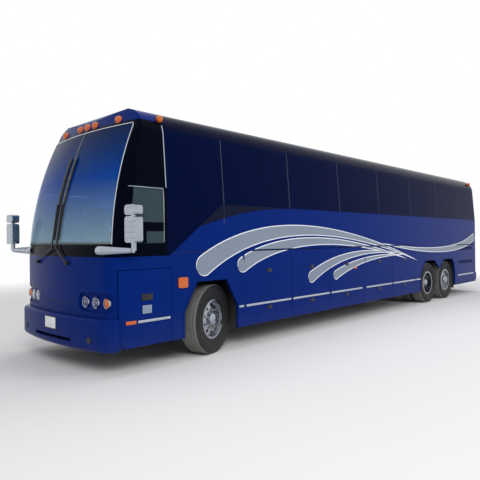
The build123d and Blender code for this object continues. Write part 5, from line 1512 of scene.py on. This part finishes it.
def rounded_outline(half_wide, half_high, radius, steps=6):
    """Points of a rounded rectangle about the origin."""
    points = []
    corners = ((1, 1, 0.0), (-1, 1, pi / 2), (-1, -1, pi), (1, -1, 1.5 * pi))
    for wide, high, start in corners:
        for turn in span(start, start + pi / 2, steps):
            y = wide * (half_wide - radius) + radius * cos(turn)
            points.append((y, high * (half_high - radius) + radius * sin(turn)))
    return points


def mirror_shroud(mesh_data, side, arm_z, arm_end):
    """Tapering shroud along the sill and out along the mirror's arm."""
    inner_r, sill_r, corner_r = SHROUD_R
    path, sizes = [], []
    for step, y in enumerate(span(*SHROUD_Y, 6)):
        x = face_plan_x(y) + 0.004 + 0.16 * (y - SHROUD_Y[0])
        path.append(Vector((x, side * y, arm_z)))
        sizes.append(sill_r if step else inner_r)
    corner = Vector((face_plan_x(SHROUD_CORNER_Y) + 0.035, side * SHROUD_CORNER_Y, arm_z))
    for share in (0.0, 0.3, 0.6, 0.9):
        path.append(corner.lerp(arm_end, share))
        sizes.append(corner_r - SHROUD_TAPER * share)
    tube(mesh_data, path, sizes, 14, flat=(FORWARD, 0.62))


def mirror_fittings():
    """Glass, gaskets, ribs and shrouds of the mirrors."""
    glass, gasket, ribs = bmesh.new(), bmesh.new(), bmesh.new()
    for side, head, arm_z in MIRROR_HEADS:
        head_x = ahead(head)
        back = head_x - HEAD_HALF_DEPTH
        front = head_x + HEAD_HALF_DEPTH
        for over_arm, half_high, rib_count in MIRROR_PANES:
            middle = arm_z + over_arm
            corner_r = min(GLASS_CORNER, half_high - 0.018)
            outline = rounded_outline(GLASS_HALF, half_high - GLASS_IN, corner_r)
            ring = [(back - 0.001, side * MIRROR_Y + y, middle + z) for y, z in outline]
            tube(gasket, ring, GASKET_R, 6, closed=True)
            flat = [glass.verts.new((back - 0.003, y, z)) for _, y, z in ring]
            inner = [glass.verts.new((back + 0.002, y, z)) for _, y, z in ring]
            glass.faces.new(flat)
            join_rings(glass, flat, inner)
            spread = half_high * RIB_SPREAD
            for z in span(middle - spread, middle + spread, rib_count):
                low = Vector((front - 0.004, side * MIRROR_Y, z)) - RIB_HALF
                high = Vector((front + 0.006, side * MIRROR_Y, z)) + RIB_HALF
                rounded_bar(ribs, low, high, 0.005, 3)
        arm_end = Vector((head_x, side * MIRROR_Y, arm_z))
        mirror_shroud(ribs, side, arm_z, arm_end)
    piece("mirror_glass", glass, mirror_glass, "coach")
    piece("mirror_gaskets", gasket, seal_rubber, "coach")
    piece("mirror_ribs_and_shrouds", ribs, chrome, "coach")


# Seats: pads swollen by a cloth simulation on one cushion and one back, then set out in rows

SEAT_ROWS = 13
SEAT_PITCH = 0.850
SEAT_LONG = 0.690
SEAT_Y = (0.478, 0.952)
SEAT_RISE = 0.450
DRIVER_Y = 0.640
DRIVER_RISE = 0.480
DRIVER_WIDTH_SHARE = 1.06
COCKPIT_Z = 1.070
# Pads before they swell, from the front of the seat and the top of its cushion
CUSHION_X = (-0.445, -0.010)
CUSHION_Z = (-0.112, -0.016)
CUSHION_BOW = (0.008, 0.010)
CUSHION_HALF = 0.222
BACK_Z = (0.010, 0.650)
BACK_X = (-0.497, -0.643)
BACK_THICK = (0.018, 0.026)
# Columns: share of the back's height, reach as a share too, depth
HEAD_BULGE = (0.86, 0.14, 0.014)
LUMBAR_BULGE = (0.28, 0.30, 0.008)
BACK_HALF = 0.220
# Cloth simulation: voxel, frames, pressure, cap on the swelling, triangles that are kept
PAD_VOXEL = 0.006
PAD_FRAMES = 20
PAD_PRESSURE = 4.0
PAD_SWELL = 0.014
PAD_TRIANGLES = 1500
PAD_CREASE = 60.0
# Lower edge of the headrest covers over the cushion's top
COVER_FOOT = 0.470
COVER_SKIN = (0.005, 0.0015)
# Seat frame
SHELL_X = (-0.618, -0.596)
SHELL_Z = (-0.04, 0.655)
SHELL_HALF = 0.226
SHELL_LEAN = -0.222
PAN_X = (-0.42, -0.04)
PAN_Z = (-0.125, -0.108)
LEGS_X = (-0.35, -0.15)
LEG_R = 0.018
BRACKET_R = 0.014
ARMREST_Y = 0.216
ARMREST_POST_R = 0.011


def pad_block(rows, half_wide):
    """Closed block from side-view rows of (low x, low z, high x, high z), waisted between its ends."""
    block = bmesh.new()
    rings = []
    columns = span(-1.0, 1.0, 9)
    for low_x, low_z, high_x, high_z in rows:
        ring = [block.verts.new((low_x, half_wide * c, low_z)) for c in columns]
        ring += [block.verts.new((high_x, half_wide * c, high_z)) for c in reversed(columns)]
        rings.append(ring)
    join_stack(block, rings, capped=True)
    bmesh.ops.recalc_face_normals(block, faces=block.faces)
    return block


def settled(pad):
    """The pad with its modifiers, as Blender works it out now."""
    return pad.evaluated_get(bpy.context.evaluated_depsgraph_get())


def swell(name, block):
    """Corners and faces of a pad after remeshing and a pressure cloth simulation."""
    mesh = bpy.data.meshes.new(name)
    block.to_mesh(mesh)
    block.free()
    pad = bpy.data.objects.new(name, mesh)
    scene = bpy.context.scene
    scene.collection.objects.link(pad)
    remesh = pad.modifiers.new("even_mesh", "REMESH")
    remesh.mode = "VOXEL"
    remesh.voxel_size = PAD_VOXEL
    even = bpy.data.meshes.new_from_object(settled(pad))
    pad.modifiers.clear()
    pad.data = even
    before = [vertex.co.copy() for vertex in even.vertices]
    after = before
    cloth = pad.modifiers.new("cover", "CLOTH")
    cloth.settings.use_pressure = True
    cloth.settings.uniform_pressure_force = PAD_PRESSURE
    cloth.settings.effector_weights.gravity = 0.0
    cloth.point_cache.frame_end = PAD_FRAMES
    for step in range(1, PAD_FRAMES + 1):
        scene.frame_set(step)
    after = [vertex.co.copy() for vertex in settled(pad).to_mesh().vertices]
    scene.frame_set(1)
    pad.modifiers.clear()
    for vertex, start, end in zip(even.vertices, before, after):
        move = end - start
        if move.length > PAD_SWELL:
            move *= PAD_SWELL / move.length
        vertex.co = start + move
    thin = pad.modifiers.new("fewer_faces", "DECIMATE")
    thin.ratio = PAD_TRIANGLES / (2 * len(even.polygons))
    light = settled(pad).to_mesh()
    corners = [vertex.co.copy() for vertex in light.vertices]
    faces = [tuple(face.vertices) for face in light.polygons]
    bpy.data.objects.remove(pad)
    return corners, faces


def passenger_places():
    """Each passenger seat as (front x, y, floor z, rise, width share)."""
    first_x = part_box("seats")[0].x + SEAT_LONG + (SEAT_ROWS - 1) * SEAT_PITCH
    deck_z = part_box("cabin_floor")[1].z
    places = []
    for row in range(SEAT_ROWS):
        for side, _ in SIDES:
            for y in SEAT_Y:
                places.append((first_x - row * SEAT_PITCH, side * y, deck_z, SEAT_RISE, 1.0))
    return places


def seat_places():
    """Every seat the same way, the driver's last."""
    driver_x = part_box("seats")[1].x
    driver = (driver_x, DRIVER_Y, COCKPIT_Z, DRIVER_RISE, DRIVER_WIDTH_SHARE)
    return [*passenger_places(), driver]


def set_out(name, pad, finish):
    """All copies of one pad as one piece."""
    corners, faces = pad
    made = bmesh.new()
    for front_x, y, floor_z, rise, wide in seat_places():
        new = []
        for x, across, z in corners:
            new.append(made.verts.new((front_x + x, y + across * wide, floor_z + rise + z)))
        for face in faces:
            made.faces.new([new[index] for index in face])
    pads = piece(name, made, finish, "coach", PAD_CREASE)
    return pads


def headrest_cover(pad):
    """Closed cloth shell over the top of a back pad."""
    corners, faces = pad
    kept = [face for face in faces if all(corners[index].z > COVER_FOOT for index in face)]
    used = sorted({index for face in kept for index in face})
    place = {index: number for number, index in enumerate(used)}
    middle_x = sum(corners[index].x for index in used) / len(used)
    top = max(corner.z for corner in corners)
    inside, outside = [], []
    for index in used:
        corner = corners[index]
        out = Vector((corner.x - middle_x, 0.4 * corner.y, corner.z - top + 0.10)).normalized()
        outside.append(corner + COVER_SKIN[0] * out)
        inside.append(corner + COVER_SKIN[1] * out)
    skin = [tuple(place[index] for index in face) for face in kept]
    count = len(used)
    shell = skin + [tuple(count + index for index in reversed(face)) for face in skin]
    sides = [(face[i - 1], face[i]) for face in skin for i in range(len(face))]
    for start, end in sides:
        if (end, start) not in sides:
            shell.append((end, start, count + start, count + end))
    return outside + inside, shell


def cushion_rows():
    """Side-view rows of the cushion, waisted below and crowned on top."""
    rows = []
    for share in span(0.0, 1.0, 12):
        x = CUSHION_X[0] + (CUSHION_X[1] - CUSHION_X[0]) * share
        bow = sin(pi * share)
        low, high = (z + depth * bow for z, depth in zip(CUSHION_Z, CUSHION_BOW))
        rows.append((x, low, x, high))
    return rows


def bulge(share, middle, reach, depth):
    """Depth of a swelling that fades out on both sides of its middle."""
    return depth * max(0.0, 1 - abs(share - middle) / reach)


def back_rows():
    """Side-view rows of the leaning back, fuller at the lumbar and at the head."""
    rows = []
    for share in span(0.0, 1.0, 16):
        z = BACK_Z[0] + (BACK_Z[1] - BACK_Z[0]) * share
        middle = BACK_X[0] + (BACK_X[1] - BACK_X[0]) * share
        front = BACK_THICK[1] + bulge(share, *HEAD_BULGE) + bulge(share, *LUMBAR_BULGE)
        rows.append((middle - BACK_THICK[0], z, middle + front, z))
    return rows


def seat_frame(shells, metal, place):
    """Back shell, legs with their foot, seat pan and back brackets of one seat."""
    front_x, y, floor_z, rise, wide = place
    top = floor_z + rise
    half = SHELL_HALF * wide
    inner = 0.8 * half
    low, high = zip((front_x + x for x in SHELL_X), (y - half, y + half), (top + z for z in SHELL_Z))
    rounded_bar(shells, low, high, 0.010, 2, Matrix.Rotation(SHELL_LEAN, 4, "Y"))
    for leg in LEGS_X:
        tube(metal, ((front_x + leg, y, floor_z), (front_x + leg, y, top - 0.10)), LEG_R, 8)
    for arm_y in (y - inner, y + inner):
        ends = ((front_x - 0.38, arm_y, top - 0.116), (front_x - 0.545, arm_y, top + 0.02))
        tube(metal, ends, BRACKET_R, 8)
    foot = (front_x - 0.40, y - 0.025, floor_z)
    rounded_bar(metal, foot, (front_x - 0.10, y + 0.025, floor_z + 0.016), 0.006, 2)
    low, high = zip((front_x + x for x in PAN_X), (y - inner, y + inner), (top + z for z in PAN_Z))
    rounded_bar(metal, low, high, 0.006)


def aisle_armrest(grips, metal, place):
    """Grip on its post beside the aisle."""
    front_x, y, floor_z, rise, _ = place
    arm_y = ARMREST_Y if y > 0 else -ARMREST_Y
    top = floor_z + rise
    low = (front_x - 0.42, arm_y - 0.020, top + 0.17)
    rounded_bar(grips, low, (front_x - 0.10, arm_y + 0.020, top + 0.20), 0.012, 3)
    post = ((front_x - 0.40, arm_y, top - 0.10), (front_x - 0.42, arm_y, top + 0.18))
    tube(metal, post, ARMREST_POST_R, 8)


def seats():
    """Cushions, backs, headrest covers, shells, legs and armrests."""
    cushion = swell("cushion_pad", pad_block(cushion_rows(), CUSHION_HALF))
    back = swell("back_pad", pad_block(back_rows(), BACK_HALF))
    cushions = set_out("seat_cushions", cushion, seat_cloth)
    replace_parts(cushions, "seats")
    set_out("seat_backs", back, seat_cloth)
    set_out("headrest_covers", headrest_cover(back), cover_cloth)
    shells, metal, grips = bmesh.new(), bmesh.new(), bmesh.new()
    for place in seat_places():
        seat_frame(shells, metal, place)
    for place in passenger_places():
        if abs(place[1]) < SEAT_Y[1]:
            aisle_armrest(grips, metal, place)
    piece("seat_shells", shells, dash_grain, "coach")
    piece("seat_legs", metal, chassis_black, "coach")
    piece("seat_armrests", grips, black_plastic, "coach")


# Rubber flaps behind the tag wheels

FLAP_BACK = 0.600
FLAP_Y = (0.800, 1.230)
FLAP_Z = (0.260, 0.760)
FLAP_RIB_IN = 0.06
FLAP_RIB_END = 0.020


def mud_flaps():
    """Flaps with a rolled lower edge and three ribs."""
    flaps = bmesh.new()
    x = TAG_AXLE_X - FLAP_BACK
    low, high = FLAP_Z
    for side, _ in SIDES:
        inner, outer = (side * y for y in FLAP_Y)
        rounded_bar(flaps, (x - 0.006, inner, low), (x + 0.006, outer, high), 0.005, 2)
        for y in span(inner + side * FLAP_RIB_IN, outer - side * FLAP_RIB_IN, 3):
            foot = (x - 0.012, y - 0.010, low + FLAP_RIB_END)
            rounded_bar(flaps, foot, (x + 0.010, y + 0.010, high - FLAP_RIB_END), 0.006, 2)
        tube(flaps, ((x, inner, low + 0.002), (x, outer, low + 0.002)), 0.010, 8)
    piece("mud_flaps", flaps, seal_rubber, "coach")


# Entrance door handle and roof hatch seals

HANDLE_IN = 0.110
HANDLE_Z = 1.300
LOCK_DOWN = 0.050
# Columns: radius, distance out
LOCK = ((0.011, 0.0), (0.011, 0.006), (0.0, 0.008))


def entrance_handle():
    """Cup plate with a bar and a lock on the entrance door."""
    x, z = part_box("entrance_door")[0].x + HANDLE_IN, HANDLE_Z
    y = on_side(x, z, RIGHT).y
    cup, bar = bmesh.new(), bmesh.new()
    rounded_bar(cup, (x - 0.045, y - 0.003, z - 0.075), (x + 0.045, y + 0.002, z + 0.075), 0.002, 2)
    rounded_bar(bar, (x - 0.030, y - 0.016, z - 0.016), (x + 0.030, y - 0.002, z + 0.016), 0.006, 3)
    lathe(bar, LOCK, (x, y - 0.003, z - LOCK_DOWN), -ACROSS, 16)
    piece("entrance_handle_cup", cup, black_plastic, "entrance_door")
    piece("entrance_handle_bar", bar, chrome, "entrance_door")


# Rear and front end of each hatch
HATCH_ENDS = ((-3.790, -3.150), (2.210, 2.850))
ROOF_TOP_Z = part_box("roof")[1].z
SEAL_OUT = 0.008
SEAL_R = 0.012
SEAL_CORNER = 0.05
KNUCKLE_AHEAD = 0.022
KNUCKLE_UP = 0.010
KNUCKLE_HALF = 0.05
KNUCKLE_R = 0.014


def hatch_seals():
    """Rubber round the foot of each roof hatch and two hinge knuckles."""
    seals = bmesh.new()
    low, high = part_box("roof_hatches")
    middle = (low.y + high.y) / 2
    half = (high.y - low.y) / 2
    for rear, front in HATCH_ENDS:
        outline = rounded_outline((front - rear) / 2 + SEAL_OUT, half + SEAL_OUT, SEAL_CORNER)
        centre = (rear + front) / 2
        ring = [(centre + a, middle + b, ROOF_TOP_Z) for a, b in outline]
        tube(seals, ring, SEAL_R, 8, closed=True)
        for y in (middle - 0.5 * half, middle + 0.5 * half):
            x, z = front + KNUCKLE_AHEAD, ROOF_TOP_Z + KNUCKLE_UP
            tube(seals, ((x, y - KNUCKLE_HALF, z), (x, y + KNUCKLE_HALF, z)), KNUCKLE_R, 10)
    piece("hatch_seals", seals, seal_rubber, "coach")


# Stage: a pale floor that fades to white, an even sky and soft boxes

SKY_LEVEL = 0.45
FLOOR_HALF = 120.0
FLOOR_FADE = (9.0, 16.0)
FLOOR_PALE = (0.86, 0.86, 0.87, 1)
# Columns: name, place, aimed at, size, watts
LIGHTS = (
    ("key_softbox", (12.0, 11.0, 9.0), (2.0, 0.0, 1.4), 7.0, 850.0),
    ("side_softbox", (-4.0, 14.0, 8.0), (-2.0, 0.0, 1.4), 8.0, 700.0),
    ("far_softbox", (-9.0, -12.0, 9.0), (-1.0, 0.0, 1.4), 8.0, 700.0),
    ("top_softbox", (0.0, 0.0, 13.0), (0.0, 0.0, 1.0), 10.0, 500.0),
)


def make_camera():
    """Camera where the photograph was taken."""
    forward = Vector(
        (cos(CAMERA_PITCH) * cos(CAMERA_YAW), cos(CAMERA_PITCH) * sin(CAMERA_YAW), sin(CAMERA_PITCH))
    )
    right = forward.cross(UP).normalized()
    up = right.cross(forward)
    rolled_right = cos(CAMERA_ROLL) * right + sin(CAMERA_ROLL) * up
    rolled_up = cos(CAMERA_ROLL) * up - sin(CAMERA_ROLL) * right
    data = bpy.data.cameras.new("photo_camera")
    data.sensor_width = SENSOR
    data.lens = SENSOR * FOCAL_PIXELS / PHOTO_PIXELS
    data.shift_y = (MIDDLE_PIXEL_Y - PHOTO_PIXELS / 2) / PHOTO_PIXELS
    data.clip_start, data.clip_end = 0.1, 400.0
    camera = bpy.data.objects.new("photo_camera", data)
    turn = Matrix((rolled_right, rolled_up, -forward)).transposed()
    camera.matrix_world = Matrix.Translation(CAMERA_AT) @ turn.to_4x4()
    bpy.context.scene.collection.objects.link(camera)
    bpy.context.scene.camera = camera


def seen_mask(tree):
    """1 for camera, mirror and glass rays, which see the plain white background."""
    path = tree.nodes.new("ShaderNodeLightPath").outputs
    first = math_node(tree, "MAXIMUM", path["Is Camera Ray"], path["Is Glossy Ray"])
    return math_node(tree, "MAXIMUM", first, path["Is Transmission Ray"])


def make_world():
    """Soft even sky that looks plain white."""
    world = bpy.data.worlds.new("studio_sky")
    world.use_nodes = True
    tree = world.node_tree
    tree.nodes.clear()
    seen = seen_mask(tree)
    level = put(
        tree, "ShaderNodeMapRange", {"Value": seen, "To Min": SKY_LEVEL, "To Max": 1.0}
    ).outputs["Result"]
    sky = put(tree, "ShaderNodeBackground", {"Color": (1, 1, 1, 1), "Strength": level})
    sink = tree.nodes.new("ShaderNodeOutputWorld")
    tree.links.new(sky.outputs["Background"], sink.inputs["Surface"])
    bpy.context.scene.world = world


def make_floor():
    """Plain pale floor that keeps the shadow near the coach and fades to white."""
    mesh_data = bmesh.new()
    bmesh.ops.create_grid(mesh_data, x_segments=24, y_segments=24, size=FLOOR_HALF)
    mesh = bpy.data.meshes.new("studio_floor")
    mesh_data.to_mesh(mesh)
    mesh_data.free()
    floor = bpy.data.objects.new("studio_floor", mesh)
    bpy.context.scene.collection.objects.link(floor)
    material = bpy.data.materials.new("studio_floor_white")
    material.use_nodes = True
    tree = material.node_tree
    tree.nodes.clear()
    place = put(tree, "ShaderNodeTexCoord").outputs["Object"]
    reach = put(tree, "ShaderNodeVectorMath", {0: place}, operation="LENGTH").outputs["Value"]
    far = put(
        tree,
        "ShaderNodeMapRange",
        {"Value": reach, "From Min": FLOOR_FADE[0], "From Max": FLOOR_FADE[1]},
        interpolation_type="SMOOTHSTEP",
    ).outputs["Result"]
    share = math_node(tree, "MULTIPLY", far, seen_mask(tree))
    pale = put(tree, "ShaderNodeBsdfDiffuse", {"Color": FLOOR_PALE})
    white = put(tree, "ShaderNodeEmission", {"Color": (1, 1, 1, 1), "Strength": 1.0})
    mixed = put(
        tree,
        "ShaderNodeMixShader",
        {0: share, 1: pale.outputs["BSDF"], 2: white.outputs["Emission"]},
    )
    sink = tree.nodes.new("ShaderNodeOutputMaterial")
    tree.links.new(mixed.outputs["Shader"], sink.inputs["Surface"])
    mesh.materials.append(material)


def make_lights():
    """Soft boxes at a plain level."""
    for name, place, aim, size, watts in LIGHTS:
        data = bpy.data.lights.new(name, "AREA")
        data.shape = "DISK"
        data.size = size
        data.energy = watts
        lamp = bpy.data.objects.new(name, data)
        lamp.visible_glossy = False
        lamp.location = place
        lamp.rotation_euler = (Vector(aim) - Vector(place)).to_track_quat("-Z", "Y").to_euler()
        bpy.context.scene.collection.objects.link(lamp)


bpy.context.scene.view_settings.view_transform = "Standard"
make_camera()
make_world()
make_floor()
make_lights()
stripes()
side_trim()
arch_edges()
service_door_fittings()
windshield_trim()
wiper_blades()
front_plate()
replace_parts(lamp_trays(), "headlamps")
headlamp_units()
tail_lamp_rings()
wheels()
glass_trim()
driver_window()
panel_lines()
bumper_plugs()
mirror_fittings()
seats()
mud_flaps()
entrance_handle()
hatch_seals()
